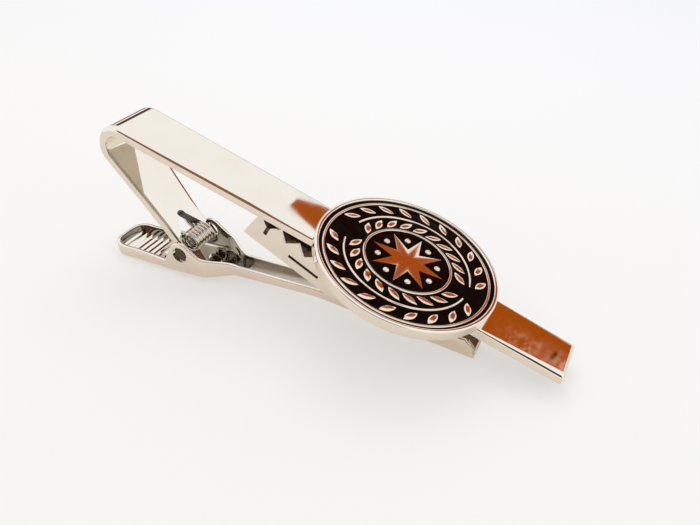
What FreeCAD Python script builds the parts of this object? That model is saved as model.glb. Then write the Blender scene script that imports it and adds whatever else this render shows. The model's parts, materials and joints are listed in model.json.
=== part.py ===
import FreeCAD, Part
import math
import os

from FreeCAD import Vector

# Tie clip, millimetres. The bar frame has x along the bar from the outside of its bend, y across it
# and z up from its flat top. The lever frame has u along the lever from the hinge axis and v up.

# Front bar and back leg: one bevelled strip, bent back on itself and forked at its end
BAR_LENGTH = 56.0
BAR_WIDTH = 7.0
BAR_END_WIDTH = 5.6
STRIP_THICK = 1.2
BEVEL_WIDTH = 0.62
BEVEL_DROP = 0.3
END_BEVEL = 0.25
BEND_RADIUS = 2.7
LEG_ANGLE = 34.5
LEG_LENGTH = 13.6
FORK_WIDTH = 5.8
PRONG_WIDTH = 0.8
PRONG_TAIL = 1.0
SLOT_RISE = 3.6
SLOT_TOP_RADIUS = 0.65
SLOT_FULL_RISE = 1.5
EAR_LENGTH = 1.5
EAR_THICK = 1.1
EAR_RECESS = 0.1

# Lever: one pressed sheet with a thumb pad, two hinge lugs and a channel arm
LEVER_SHEET = 0.45
HINGE_CLEARANCE = 0.05
SIDE_CLEARANCE = 0.05
HINGE_HEIGHT = 2.7
PAD_REACH = 11.1
PAD_WIDTH = 5.8
PAD_CORNER = 2.2
PAD_RIM = 1.45
PAD_TOE_RISE = 0.2
RIB_COUNT = 8
RIB_PITCH = 0.85
RIB_WIDTH = 0.5
RIB_HEIGHT = 0.2
RIB_FIRST = 0.8
LUG_RADIUS = 1.5
LUG_FOOT = 2.4
LUG_SHOULDER = 2.7
FLARE_START = 7.0
FLARE_END = 2.4
ARM_START = 6.4
ARM_WIDTH = 3.1
ARM_RISE = 0.22
ARM_WALL = 1.35
ARM_WALL_END = 1.0
ARM_BEND_AT = 16.8
ARM_BEND_ANGLE = 8.5
TIP_LENGTH = 18.5
TIP_WALL = 2.1
TIP_LIP = 0.78
TIP_SLANT = 1.0

# Toothed jaw: one pressed sheet, its tail welded into the arm, its toothed end free
JAW_SHEET = 0.4
JAW_WIDTH = 5.8
JAW_ANGLE = 30.0
JAW_REACH = 16.0
JAW_START = 3.6
JAW_SEAT = 6.2
JAW_HEIGHT = 3.25
JAW_END_LEAN = 0.6
JAW_GAP = 0.06
TOOTH_COUNT = 5
TOOTH_PITCH = 2.45
TOOTH_DEPTH = 0.95
TOOTH_FIRST = 0.95
TOOTH_BEND_ANGLE = 16.0
CREASE_BELOW_TIP = 1.1
SLIT_HEIGHT = 1.2
SLIT_WIDTH = 0.36
SLIT_LENGTH = 4.0
SLIT_FROM_END = 5.6
NOTCH_WIDTH = 0.45
NOTCH_DEPTH = 0.75
TAIL_CLEARANCE = 0.03
TAIL_WALL = 1.3

# Torsion spring
SPRING_WIRE = 0.45
SPRING_RADIUS = 1.05
SPRING_PITCH = 0.91
SPRING_WHOLE_TURNS = 3
SPRING_RISE = 0.9
SPRING_SEAT_GAP = 0.06
SPRING_PAD_REACH = 4.35
SPRING_LEG_START = 1.7
SPRING_LEG_LENGTH = 3.6

# Medallion and its tray
TRAY_AT = 36.9
TRAY_RADIUS = 10.05
TRAY_RIM = 0.5
TRAY_HEIGHT = 1.2
TRAY_BASE = 0.35
SOLDER_THICK = 0.06
SOLDER_LENGTH = 15.0
GLUE_THICK = 0.05
MEDAL_CLEARANCE = 0.05
MEDAL_PLATE = 0.3
RELIEF_HEIGHT = 0.3
ENAMEL_THICK = 0.2
BORDER_MARGIN = 0.3
BORDER_WIDTH = 0.3
INNER_RING_WIDTH = 0.3
STAR_POINTS = 8
STAR_WAIST = 1.7
STAR_CLEARANCE = 0.5
WREATH_BAND = 4.0
WREATH_GAP_ANGLE = 16.0
LEAF_COUNT = 10
LEAF_WIDTH = 0.75
LEAF_SPLAY_ANGLE = 38.0
LEAF_OFFSET_SHARE = 0.62
LEAF_CLEARANCE = 0.24

UP = Vector(0, 0, 1)
ACROSS = Vector(0, 1, 0)
ORIGIN = Vector(0, 0, 0)
OVERCUT = 1.0
HALF_TURN = 180.0

BEND_SWEEP = HALF_TURN - LEG_ANGLE
BAR_UNDERSIDE = -STRIP_THICK
LUG_WIDTH = FORK_WIDTH + 2 * (SIDE_CLEARANCE + LEVER_SHEET)
HOLE_RADIUS = math.hypot(EAR_LENGTH, EAR_THICK) / 2 + HINGE_CLEARANCE
LEVER_BOTTOM = -HINGE_HEIGHT
FLOOR_TOP = LEVER_BOTTOM + LEVER_SHEET
ARM_BOTTOM = LEVER_BOTTOM + ARM_RISE
BEND_SLOPE = math.tan(math.radians(ARM_BEND_ANGLE))
TIP_END = ARM_BEND_AT + TIP_LENGTH
HEEL = PAD_CORNER - PAD_REACH


def flat_prism(points, low, high):
    """Solid of an outline of (x, z) points, from y = low to y = high."""
    corners = [Vector(x, low, z) for x, z in points]
    face = Part.Face(Part.makePolygon(corners + corners[:1]))
    return face.extrude(Vector(0, high - low, 0))


def upright_prism(points, low, high):
    """Solid of an outline of (x, y) points, from z = low to z = high."""
    corners = [Vector(x, y, low) for x, y in points]
    face = Part.Face(Part.makePolygon(corners + corners[:1]))
    return face.extrude(Vector(0, 0, high - low))


def mirrored(shape):
    """The shape's twin on the other side of the centre plane."""
    return shape.mirror(ORIGIN, ACROSS)


def both_sides(shape):
    """The shape and its twin, as a list."""
    return [shape, mirrored(shape)]


# Front bar

def strip_section(x, width):
    """Bevelled section of the strip."""
    half = width / 2
    top = half - BEVEL_WIDTH
    outline = [(-top, 0), (top, 0), (half, -BEVEL_DROP), (half, -STRIP_THICK),
               (-half, -STRIP_THICK), (-half, -BEVEL_DROP)]
    corners = [Vector(x, y, z) for y, z in outline]
    return Part.Face(Part.makePolygon(corners + corners[:1]))


def tapered(first, last):
    """Solid with flat sides between two sections of the strip."""
    starts = [vertex.Point for vertex in first.OuterWire.OrderedVertexes]
    ends = [vertex.Point for vertex in last.OuterWire.OrderedVertexes]
    faces = [first, last]
    for index in range(len(starts)):
        side = [starts[index - 1], starts[index], ends[index], ends[index - 1], starts[index - 1]]
        faces.append(Part.Face(Part.makePolygon(side)))
    return Part.Solid(Part.Shell(faces))


def folded(shape):
    """Turn a shape that runs straight on from the bar round the bend, into the leg's place."""
    turned = shape.copy()
    turned.rotate(Vector(BEND_RADIUS, 0, -BEND_RADIUS), ACROSS, -BEND_SWEEP)
    return turned


def folded_point(reach, depth):
    """Point of the leg, reach past the bend and depth below the strip's outer face."""
    return folded(Part.Vertex(BEND_RADIUS - reach, 0, -depth)).Point


def leg_x(reach):
    """Place of a reach along the leg before it is folded."""
    return BEND_RADIUS - reach


def fork_slot():
    """Teardrop slot that makes the leg's end a fork."""
    round_at = leg_x(LEG_LENGTH - SLOT_RISE)
    wide_at = leg_x(LEG_LENGTH - SLOT_FULL_RISE)
    end_at = leg_x(LEG_LENGTH + PRONG_TAIL + OVERCUT)
    wide = FORK_WIDTH / 2 - PRONG_WIDTH
    sides = [(round_at, SLOT_TOP_RADIUS), (wide_at, wide), (end_at, wide),
             (end_at, -wide), (wide_at, -wide), (round_at, -SLOT_TOP_RADIUS)]
    low = -STRIP_THICK - OVERCUT
    slot = upright_prism(sides, low, OVERCUT)
    top = Part.makeCylinder(SLOT_TOP_RADIUS, OVERCUT - low, Vector(round_at, 0, low), UP)
    return slot.fuse(top)


def fork_trim():
    """Waste beside the leg, which narrows it to the fork's width."""
    straight_at = leg_x(LEG_LENGTH - SLOT_RISE)
    end_at = leg_x(LEG_LENGTH + PRONG_TAIL + OVERCUT)
    wide = BAR_WIDTH / 2
    outline = [(BEND_RADIUS, wide), (straight_at, FORK_WIDTH / 2), (end_at, FORK_WIDTH / 2),
               (end_at, wide + OVERCUT), (BEND_RADIUS, wide + OVERCUT)]
    return upright_prism(outline, -STRIP_THICK - OVERCUT, OVERCUT)


def ear():
    """Flat ear on a prong, which is the hinge's trunnion."""
    root = FORK_WIDTH / 2 - PRONG_WIDTH
    end = LUG_WIDTH / 2 - EAR_RECESS
    corner = Vector(leg_x(LEG_LENGTH) - EAR_LENGTH / 2, root, -(STRIP_THICK + EAR_THICK) / 2)
    return Part.makeBox(EAR_LENGTH, end - root, EAR_THICK, corner)


def front_bar():
    """Bar, bend and forked back leg, in one strip."""
    section = strip_section(BEND_RADIUS, BAR_WIDTH)
    end_section = strip_section(BAR_LENGTH, BAR_END_WIDTH)
    bar = tapered(section, end_section)
    end = [(BAR_LENGTH - END_BEVEL, 0), (BAR_LENGTH, -BEVEL_DROP), (BAR_LENGTH, OVERCUT),
           (BAR_LENGTH - END_BEVEL, OVERCUT)]
    bar = bar.cut(flat_prism(end, -BAR_WIDTH, BAR_WIDTH))
    bend = section.revolve(Vector(BEND_RADIUS, 0, -BEND_RADIUS), ACROSS, -BEND_SWEEP)
    leg = section.extrude(Vector(-LEG_LENGTH - PRONG_TAIL, 0, 0))
    leg = leg.cut(both_sides(fork_trim()) + [fork_slot()])
    leg = leg.fuse(both_sides(ear()))
    return bar.fuse([bend, folded(leg)]).removeSplitter()


HINGE = folded_point(LEG_LENGTH, STRIP_THICK / 2)


# Lever

def tip_bottom(reach):
    """Underside of the arm, at a reach past its bend."""
    return ARM_BOTTOM - max(0.0, reach - ARM_BEND_AT) * BEND_SLOPE


def pad_toe():
    """Underside of the thumb pad's turned-up end, from beyond its end to its heel."""
    beyond = PAD_TOE_RISE * (PAD_CORNER + OVERCUT) / PAD_CORNER
    return [(-PAD_REACH - OVERCUT, LEVER_BOTTOM + beyond), (HEEL, LEVER_BOTTOM)]


def lever_plan(inset, tip):
    """Lever seen from above, drawn in by the inset, up to the given tip."""
    pad = PAD_WIDTH / 2 - inset
    lug = LUG_WIDTH / 2 - inset
    arm = ARM_WIDTH / 2 - inset
    corner = PAD_CORNER - inset
    start = -PAD_REACH + inset
    side = [(start + corner, pad), (-FLARE_START, pad), (-FLARE_END, lug), (LUG_FOOT, lug),
            (ARM_START, arm), (tip, arm)]
    far = [Vector(u, half, 0) for u, half in side]
    near = [Vector(u, -half, 0) for u, half in reversed(side)]
    path = Part.makePolygon(far + near).Edges
    turn = corner * (1 - math.sqrt(0.5))
    first = Vector(start, pad - corner, 0)
    last = Vector(start, corner - pad, 0)
    path.append(Part.Arc(near[-1], Vector(start + turn, turn - pad, 0), last).toShape())
    path.append(Part.makeLine(last, first))
    path.append(Part.Arc(first, Vector(start + turn, pad - turn, 0), far[0]).toShape())
    return Part.Face(Part.Wire(path))


def tip_outline():
    """Slanted end of the arm's walls, from its foot up, as (u, v) points."""
    foot = tip_bottom(TIP_END)
    top_at = TIP_END - TIP_SLANT
    return [(TIP_END, foot), (TIP_END, foot + TIP_LIP), (top_at, tip_bottom(top_at) + TIP_WALL)]


def lug_touch(foot, side):
    """Point where a line from a foot touches a lug's round top, on the given side."""
    angle = math.atan2(foot[1], foot[0]) + side * math.acos(LUG_RADIUS / math.hypot(*foot))
    return (LUG_RADIUS * math.cos(angle), LUG_RADIUS * math.sin(angle))


def lever_profile():
    """Lever seen from the side: pad rim, lugs and arm walls, as one column across it."""
    toe = pad_toe()
    left = (-LUG_FOOT, LEVER_BOTTOM + PAD_RIM)
    right = (LUG_FOOT, LEVER_BOTTOM + LUG_SHOULDER)
    lug_start = lug_touch(right, 1)
    lug_end = lug_touch(left, -1)
    before = [lug_end, left, (HEEL, left[1]), (toe[0][0], toe[0][1] + PAD_RIM)] + toe
    before += [(LUG_FOOT, LEVER_BOTTOM), (ARM_START, ARM_BOTTOM), (ARM_BEND_AT, ARM_BOTTOM)]
    after = [(ARM_BEND_AT, ARM_BOTTOM + ARM_WALL_END), (ARM_START, ARM_BOTTOM + ARM_WALL), right, lug_start]
    corners = [Vector(u, -LUG_WIDTH, v) for u, v in before + tip_outline() + after]
    top = Part.Arc(corners[-1], Vector(0, -LUG_WIDTH, LUG_RADIUS), corners[0]).toShape()
    face = Part.Face(Part.Wire(Part.makePolygon(corners).Edges + [top]))
    return face.extrude(ACROSS * 2 * LUG_WIDTH)


def lever_hollow():
    """Space inside the lever, above its floor."""
    end = TIP_END + OVERCUT
    high = 2 * HINGE_HEIGHT
    outline = [(u, v + LEVER_SHEET) for u, v in pad_toe()]
    outline += [(LUG_FOOT, FLOOR_TOP), (ARM_START, ARM_BOTTOM + LEVER_SHEET),
                (ARM_BEND_AT, ARM_BOTTOM + LEVER_SHEET), (end, tip_bottom(end) + LEVER_SHEET),
                (end, high), (outline[0][0], high)]
    return flat_prism(outline, -LUG_WIDTH, LUG_WIDTH)


def standing(face):
    """Column over a plan outline, through the lever's whole height."""
    depth = tip_bottom(TIP_END + OVERCUT) - OVERCUT
    column = face.copy()
    column.translate(Vector(0, 0, depth))
    return column.extrude(Vector(0, 0, 4 * HINGE_HEIGHT - depth))


def pad_ribs():
    """Grip ribs across the thumb pad's floor."""
    half = PAD_WIDTH / 2 - LEVER_SHEET - RIB_WIDTH / 2
    ribs = []
    for index in range(RIB_COUNT):
        middle = RIB_FIRST - PAD_REACH + index * RIB_PITCH
        lift = PAD_TOE_RISE * max(0.0, HEEL - middle) / PAD_CORNER
        outline = [(middle - RIB_WIDTH / 2, FLOOR_TOP), (middle + RIB_WIDTH / 2, FLOOR_TOP),
                   (middle, FLOOR_TOP + lift + RIB_HEIGHT)]
        ribs.append(flat_prism(outline, -half, half))
    return ribs


def clip_lever():
    """Lever in its own frame, hinge axis at the origin."""
    outside = standing(lever_plan(0.0, TIP_END)).common(lever_profile())
    room = standing(lever_plan(LEVER_SHEET, TIP_END + OVERCUT))
    ribs = [rib.common(room) for rib in pad_ribs()]
    body = outside.cut(room.common(lever_hollow())).fuse(ribs)
    hole = Part.makeCylinder(HOLE_RADIUS, 2 * LUG_WIDTH, Vector(0, -LUG_WIDTH, 0), ACROSS)
    return body.cut(hole).removeSplitter()


# Toothed jaw

JAW_RUN = Vector(-math.cos(math.radians(JAW_ANGLE)), 0, math.sin(math.radians(JAW_ANGLE)))
JAW_RISE = Vector(math.sin(math.radians(JAW_ANGLE)), 0, math.cos(math.radians(JAW_ANGLE)))
JAW_ROOT_U = ARM_BEND_AT + JAW_SEAT
JAW_ROOT = Vector(JAW_ROOT_U, 0, tip_bottom(JAW_ROOT_U) + LEVER_SHEET)
CREASE = JAW_HEIGHT - CREASE_BELOW_TIP
FIRST_TIP = JAW_REACH - TOOTH_FIRST


def jaw_points(points):
    """Lever-frame (u, v) of points given along the jaw and up from its underside."""
    places = [JAW_ROOT + JAW_RUN * along + JAW_RISE * up for along, up in points]
    return [(place.x, place.z) for place in places]


def jaw_end(up):
    """Place along the jaw of its leaning free end, at a height."""
    return JAW_REACH - JAW_END_LEAN * up / JAW_HEIGHT


def tooth_line():
    """Top edge of a jaw wall, from its free end to its root."""
    valley = JAW_HEIGHT - TOOTH_DEPTH
    points = [(jaw_end(JAW_HEIGHT - TOOTH_DEPTH / 2), JAW_HEIGHT - TOOTH_DEPTH / 2)]
    for index in range(TOOTH_COUNT):
        tip = FIRST_TIP - index * TOOTH_PITCH
        points.append((tip, JAW_HEIGHT))
        points.append((tip - TOOTH_PITCH / 2, valley))
    points.append((JAW_START, valley))
    return [point for point in points if point[0] >= JAW_START]


def jaw_wall():
    """One toothed wall, with its tooth tips bent in along a crease."""
    outer = JAW_WIDTH / 2
    inner = outer - JAW_SHEET
    foot = [(JAW_START, 0), (JAW_REACH, 0), (jaw_end(CREASE), CREASE), (JAW_START, CREASE)]
    lower = flat_prism(jaw_points(foot), inner, outer)
    comb = tooth_line() + [(JAW_START, CREASE), (jaw_end(CREASE), CREASE)]
    teeth = flat_prism(jaw_points(comb), inner, outer)
    crease = JAW_ROOT + JAW_RISE * CREASE
    teeth.rotate(Vector(crease.x, outer, crease.z), JAW_RUN, -TOOTH_BEND_ANGLE)
    return lower.fuse(teeth)


def jaw_cuts():
    """Long slit and the notch behind the first tooth, through both walls."""
    slit_end = JAW_REACH - SLIT_FROM_END
    low = SLIT_HEIGHT - SLIT_WIDTH / 2
    high = SLIT_HEIGHT + SLIT_WIDTH / 2
    slit = [(slit_end - SLIT_LENGTH, low), (slit_end, low), (slit_end, high),
            (slit_end - SLIT_LENGTH, high)]
    notch_at = FIRST_TIP - TOOTH_PITCH / 2
    bottom = JAW_HEIGHT - TOOTH_DEPTH - NOTCH_DEPTH
    notch = [(notch_at - NOTCH_WIDTH / 2, bottom), (notch_at + NOTCH_WIDTH / 2, bottom),
             (notch_at + NOTCH_WIDTH / 2, JAW_HEIGHT), (notch_at - NOTCH_WIDTH / 2, JAW_HEIGHT)]
    return [flat_prism(jaw_points(shape), -JAW_WIDTH, JAW_WIDTH) for shape in (slit, notch)]


def tail_floor(reach, up):
    """Point of the tail over the arm's floor."""
    return (reach, tip_bottom(reach) + LEVER_SHEET + up)


def jaw_tail():
    """Narrow channel that runs down from the jaw and along inside the arm."""
    half = ARM_WIDTH / 2 - LEVER_SHEET - TAIL_CLEARANCE
    end = TIP_END + OVERCUT
    knee = jaw_points([(JAW_SHEET * math.tan(math.radians(JAW_ANGLE - ARM_BEND_ANGLE) / 2), JAW_SHEET)])
    neck = jaw_points([(JAW_START + JAW_SHEET, JAW_SHEET), (JAW_START + JAW_SHEET, 0), (0, 0)])
    web = [tail_floor(end, 0), tail_floor(end, JAW_SHEET)] + knee + neck
    start = JAW_ROOT_U + JAW_SHEET
    wall = [tail_floor(start, 0), tail_floor(end, 0), tail_floor(end, TAIL_WALL),
            tail_floor(start + TAIL_WALL, TAIL_WALL)]
    side = flat_prism(wall, half - JAW_SHEET, half)
    tail = flat_prism(web, -half, half).fuse(both_sides(side))
    slant = tip_outline()
    waste = slant[1:] + [(slant[2][0], JAW_REACH), (end + OVERCUT, JAW_REACH), (end + OVERCUT, slant[0][1]),
                         slant[0]]
    return tail.cut(flat_prism(waste, -LUG_WIDTH, LUG_WIDTH))


def toothed_jaw():
    """Toothed jaw in the lever frame."""
    half = JAW_WIDTH / 2
    floor = [(JAW_START, 0), (JAW_REACH, 0), (jaw_end(JAW_SHEET), JAW_SHEET), (JAW_START, JAW_SHEET)]
    web = flat_prism(jaw_points(floor), -half, half)
    body = web.fuse(both_sides(jaw_wall()) + [jaw_tail()])
    return body.cut(jaw_cuts()).removeSplitter()


def closed_angle():
    """Lever angle at which the first of its tooth tips, or the top of its arm's tip, meets the bar."""
    tops = jaw_points([(FIRST_TIP - index * TOOTH_PITCH, JAW_HEIGHT) for index in range(TOOTH_COUNT)])
    tops.append(tip_outline()[-1])
    rise = BAR_UNDERSIDE - JAW_GAP - HINGE.z
    reached = [(u, v) for u, v in tops if math.hypot(u, v) > rise]
    return min(math.degrees(math.asin(rise / math.hypot(u, v)) - math.atan2(v, u)) for u, v in reached)


LEVER_ANGLE = closed_angle()


def on_lever(shape):
    """Carry a shape from the lever frame to the bar frame, at the closed angle."""
    placed = shape.copy()
    placed.rotate(ORIGIN, ACROSS, -LEVER_ANGLE)
    placed.translate(HINGE)
    return placed


def lever_point(u, v):
    """Bar-frame point of a lever-frame place on the centre plane."""
    return on_lever(Part.Vertex(u, 0, v)).Point


# Torsion spring

COIL_CENTRE = HINGE + UP * SPRING_RISE


def biarc(start, start_run, end, end_run):
    """Two arcs that leave and arrive along the given unit directions."""
    span = end - start
    total = start_run + end_run
    spread = 1.0 - start_run.dot(end_run)
    if spread < 1e-9:
        return [Part.makeLine(start, end)]
    across = span.dot(total)
    reach = (math.sqrt(across ** 2 + 2 * spread * span.dot(span)) - across) / (2 * spread)
    join = (start + end + (start_run - end_run) * reach) * 0.5
    return [corner_arc(start, start + start_run * reach, join),
            corner_arc(join, end - end_run * reach, end)]


def corner_arc(start, corner, end):
    """Arc from start to end that touches both lines to the corner."""
    middle = (start + end) * 0.5
    bow = corner - middle
    half = (end - start).Length / 2
    sagitta = half * math.tan(math.atan2(bow.Length, half) / 2)
    return Part.Arc(start, middle + bow.normalize() * sagitta, end).toShape()


def unit(vector):
    """The vector's direction, with length 1."""
    return Vector(vector).normalize()


def touch_angle(point, side):
    """Angle round the coil where a line from the point touches it, on the given side."""
    away = point - COIL_CENTRE
    spread = math.acos(SPRING_RADIUS / math.hypot(away.x, away.z))
    return math.atan2(away.z, away.x) + side * spread


def coil_station(angle, y):
    """Place and direction of the wire at an angle of the coil."""
    place = COIL_CENTRE + Vector(math.cos(angle), 0, math.sin(angle)) * SPRING_RADIUS + ACROSS * y
    fall = SPRING_PITCH / (2 * math.pi * SPRING_RADIUS)
    return place, unit(Vector(-math.sin(angle), -fall, math.cos(angle)))


def spring_stations():
    """Places and directions along the wire, from its end behind the leg to its end on the pad."""
    up_leg = Vector(-math.cos(math.radians(LEG_ANGLE)), 0, math.sin(math.radians(LEG_ANGLE)))
    seat = folded_point(LEG_LENGTH - SPRING_LEG_START, -SPRING_WIRE / 2 - SPRING_SEAT_GAP)
    seat_v = FLOOR_TOP + RIB_HEIGHT + SPRING_WIRE / 2 + SPRING_SEAT_GAP
    rest = lever_point(-SPRING_PAD_REACH, seat_v)
    start = touch_angle(seat, 1)
    sweep = (touch_angle(rest, -1) - start) % (2 * math.pi) + 2 * math.pi * SPRING_WHOLE_TURNS
    length = SPRING_PITCH * sweep / (2 * math.pi)
    quarters = math.ceil(sweep / (math.pi / 2))
    coil = [coil_station(start + sweep * step / quarters, length / 2 - length * step / quarters)
            for step in range(quarters + 1)]
    seat.y = length / 2
    rest.y = -length / 2
    last = coil[-1][0]
    outward = unit(rest - last)
    leave = last + outward * SPRING_RADIUS
    return [(seat + up_leg * SPRING_LEG_LENGTH, -up_leg), (seat, -up_leg)] + coil + [(leave, outward),
                                                                                   (rest, outward)]


def least_gap(edges):
    """Least gap between stretches of the wire that aren't neighbours along it."""
    points = []
    travelled = 0.0
    step = SPRING_WIRE / 2
    for edge in edges:
        count = max(2, math.ceil(edge.Length / step))
        spots = edge.discretize(count)
        if (spots[0] - edge.Vertexes[0].Point).Length > step:
            spots.reverse()
        points += [(travelled + edge.Length * index / (count - 1), spot) for index, spot in enumerate(spots)]
        travelled += edge.Length
    apart = math.pi * SPRING_RADIUS
    gaps = [(spot - other).Length for at, spot in points for there, other in points if there - at > apart]
    return min(gaps) - SPRING_WIRE


def torsion_spring():
    """Coiled wire with a hooked leg behind the fork and a straight leg on the pad."""
    stations = spring_stations()
    edges = []
    for (place, run), (following, onward) in zip(stations, stations[1:]):
        edges += biarc(place, run, following, onward)
    print("spring: least gap to itself %.3f mm" % least_gap(edges))
    path = Part.Wire(edges)
    place, run = stations[0]
    ring = Part.Wire([Part.Circle(place, run, SPRING_WIRE / 2).toShape()])
    spring = path.makePipeShell([ring], True, False)
    expected = math.pi * SPRING_WIRE ** 2 / 4 * path.Length
    print("spring: volume over section times length %.4f" % (spring.Volume / expected))
    return spring


# Medallion

TRAY_FOOT = SOLDER_THICK
GLUE_FOOT = TRAY_FOOT + TRAY_BASE
MEDAL_FOOT = GLUE_FOOT + GLUE_THICK
FIELD = MEDAL_FOOT + MEDAL_PLATE
MEDAL_RADIUS = TRAY_RADIUS - TRAY_RIM - MEDAL_CLEARANCE
BORDER_RADIUS = MEDAL_RADIUS - BORDER_MARGIN
INNER_RING_RADIUS = BORDER_RADIUS - BORDER_WIDTH - WREATH_BAND
STAR_RADIUS = INNER_RING_RADIUS - INNER_RING_WIDTH - STAR_CLEARANCE
WREATH_RADIUS = INNER_RING_RADIUS + WREATH_BAND / 2
LEAF_LEAN = math.sin(math.radians(LEAF_SPLAY_ANGLE)) / 2
LEAF_LENGTH = (WREATH_BAND / 2 - LEAF_CLEARANCE) / (LEAF_OFFSET_SHARE + LEAF_LEAN)


def disc(radius, low, high):
    """Round plate about the medallion's axis."""
    return Part.makeCylinder(radius, high - low, Vector(TRAY_AT, 0, low), UP)


def ring(radius, width, low, high):
    """Flat ring about the medallion's axis, given by its outer radius."""
    return disc(radius, low, high).cut(disc(radius - width, low, high))


def tray_solder():
    """Thin pad of solder between the bar and the tray."""
    half = BAR_END_WIDTH / 2 - BEVEL_WIDTH
    corner = Vector(TRAY_AT - SOLDER_LENGTH / 2, -half, 0)
    return Part.makeBox(SOLDER_LENGTH, 2 * half, SOLDER_THICK, corner)


def bezel_tray():
    """Shallow round tray with a plain rim."""
    outside = disc(TRAY_RADIUS, TRAY_FOOT, TRAY_FOOT + TRAY_HEIGHT)
    return outside.cut(disc(TRAY_RADIUS - TRAY_RIM, GLUE_FOOT, TRAY_FOOT + TRAY_HEIGHT))


def star_outline():
    """Points of the star, tips and waists in turn."""
    points = []
    for index in range(2 * STAR_POINTS):
        angle = math.pi * index / STAR_POINTS
        radius = STAR_RADIUS if index % 2 == 0 else STAR_WAIST
        points.append((TRAY_AT + radius * math.cos(angle), radius * math.sin(angle)))
    return points


def leaf(turn, side, low, high):
    """One pointed leaf of the wreath, beside its stem."""
    half = LEAF_LENGTH / 2
    bow = LEAF_WIDTH / 2
    tip = Vector(half, 0, low)
    heel = Vector(-half, 0, low)
    edges = [Part.Arc(heel, Vector(0, bow, low), tip).toShape(),
             Part.Arc(tip, Vector(0, -bow, low), heel).toShape()]
    blade = Part.Face(Part.Wire(edges)).extrude(Vector(0, 0, high - low))
    blade.rotate(ORIGIN, UP, 90.0 - side * LEAF_SPLAY_ANGLE)
    blade.translate(Vector(WREATH_RADIUS + side * LEAF_OFFSET_SHARE * LEAF_LENGTH, 0, 0))
    blade.rotate(ORIGIN, UP, turn)
    blade.translate(Vector(TRAY_AT, 0, 0))
    return blade


def wreath(low, high):
    """Two sprays of leaves that meet at one side of the medallion."""
    leaves = []
    span = HALF_TURN - 2 * WREATH_GAP_ANGLE
    for index in range(LEAF_COUNT):
        turn = WREATH_GAP_ANGLE + span * index / (LEAF_COUNT - 1)
        for side in (-1, 1):
            blade = leaf(turn, side, low, high)
            leaves += both_sides(blade)
    return leaves


def relief(low, high):
    """Raised lines and figures of the medallion."""
    figures = [ring(BORDER_RADIUS, BORDER_WIDTH, low, high),
               ring(INNER_RING_RADIUS, INNER_RING_WIDTH, low, high),
               upright_prism(star_outline(), low, high)]
    return figures + wreath(low, high)


def medallion():
    """Struck disc with a raised design."""
    plate = disc(MEDAL_RADIUS, MEDAL_FOOT, FIELD)
    return plate.fuse(relief(FIELD, FIELD + RELIEF_HEIGHT)).removeSplitter()


def enamel_fill():
    """Enamel that fills the field round the raised design."""
    fill = disc(MEDAL_RADIUS, FIELD, FIELD + ENAMEL_THICK)
    return fill.cut(relief(FIELD, FIELD + RELIEF_HEIGHT))


def medallion_glue():
    """Film of glue under the medallion."""
    return disc(MEDAL_RADIUS, GLUE_FOOT, MEDAL_FOOT)


# Resting pose: the clip lies on its thumb pad and on the tip of its lever, or the end of its bar

def resting_tilt():
    """Angle that the bar slopes down by when the clip lies on a table."""
    heel = lever_point(HEEL, LEVER_BOTTOM)
    tip = lever_point(TIP_END, tip_bottom(TIP_END))
    bar_end = Vector(BAR_LENGTH, 0, BAR_UNDERSIDE)
    return min(math.degrees(math.atan2(end.z - heel.z, end.x - heel.x)) for end in (tip, bar_end))


def main():
    """Build every piece, lay the clip on the table and write the pieces."""
    pieces = {
        "front_bar": front_bar(),
        "clip_lever": on_lever(clip_lever()),
        "toothed_jaw": on_lever(toothed_jaw()),
        "torsion_spring": torsion_spring(),
        "tray_solder": tray_solder(),
        "bezel_tray": bezel_tray(),
        "medallion_glue": medallion_glue(),
        "medallion": medallion(),
        "enamel_fill": enamel_fill(),
    }
    tilt = resting_tilt()
    for shape in pieces.values():
        shape.rotate(ORIGIN, ACROSS, tilt)
    box = Part.makeCompound(list(pieces.values())).BoundBox
    shift = Vector(-(box.XMin + box.XMax) / 2, 0, -box.ZMin)
    os.makedirs("parts", exist_ok=True)
    for name, shape in pieces.items():
        shape.translate(shift)
        shape.exportStep("parts/%s.step" % name)
        print("%s: %d solid, valid %s, %.2f mm3" % (name, len(shape.Solids), shape.isValid(), shape.Volume))
    hinge = FreeCAD.Rotation(ACROSS, tilt).multVec(HINGE) + shift
    print("hinge axis at x %.3f z %.3f, lever angle %.2f, resting tilt %.2f"
          % (hinge.x, hinge.z, LEVER_ANGLE, tilt))
    print("size %.2f x %.2f x %.2f" % (box.XLength, box.YLength, box.ZLength))


main()
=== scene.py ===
import json
import logging
import math
from dataclasses import dataclass
from enum import Enum
from typing import Callable, Mapping, Sequence

import bmesh
import bpy
from bpy.types import Material, Mesh, MeshPolygon, Node, NodeSocket, NodeTree, Object
from mathutils import Matrix, Vector


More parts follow.
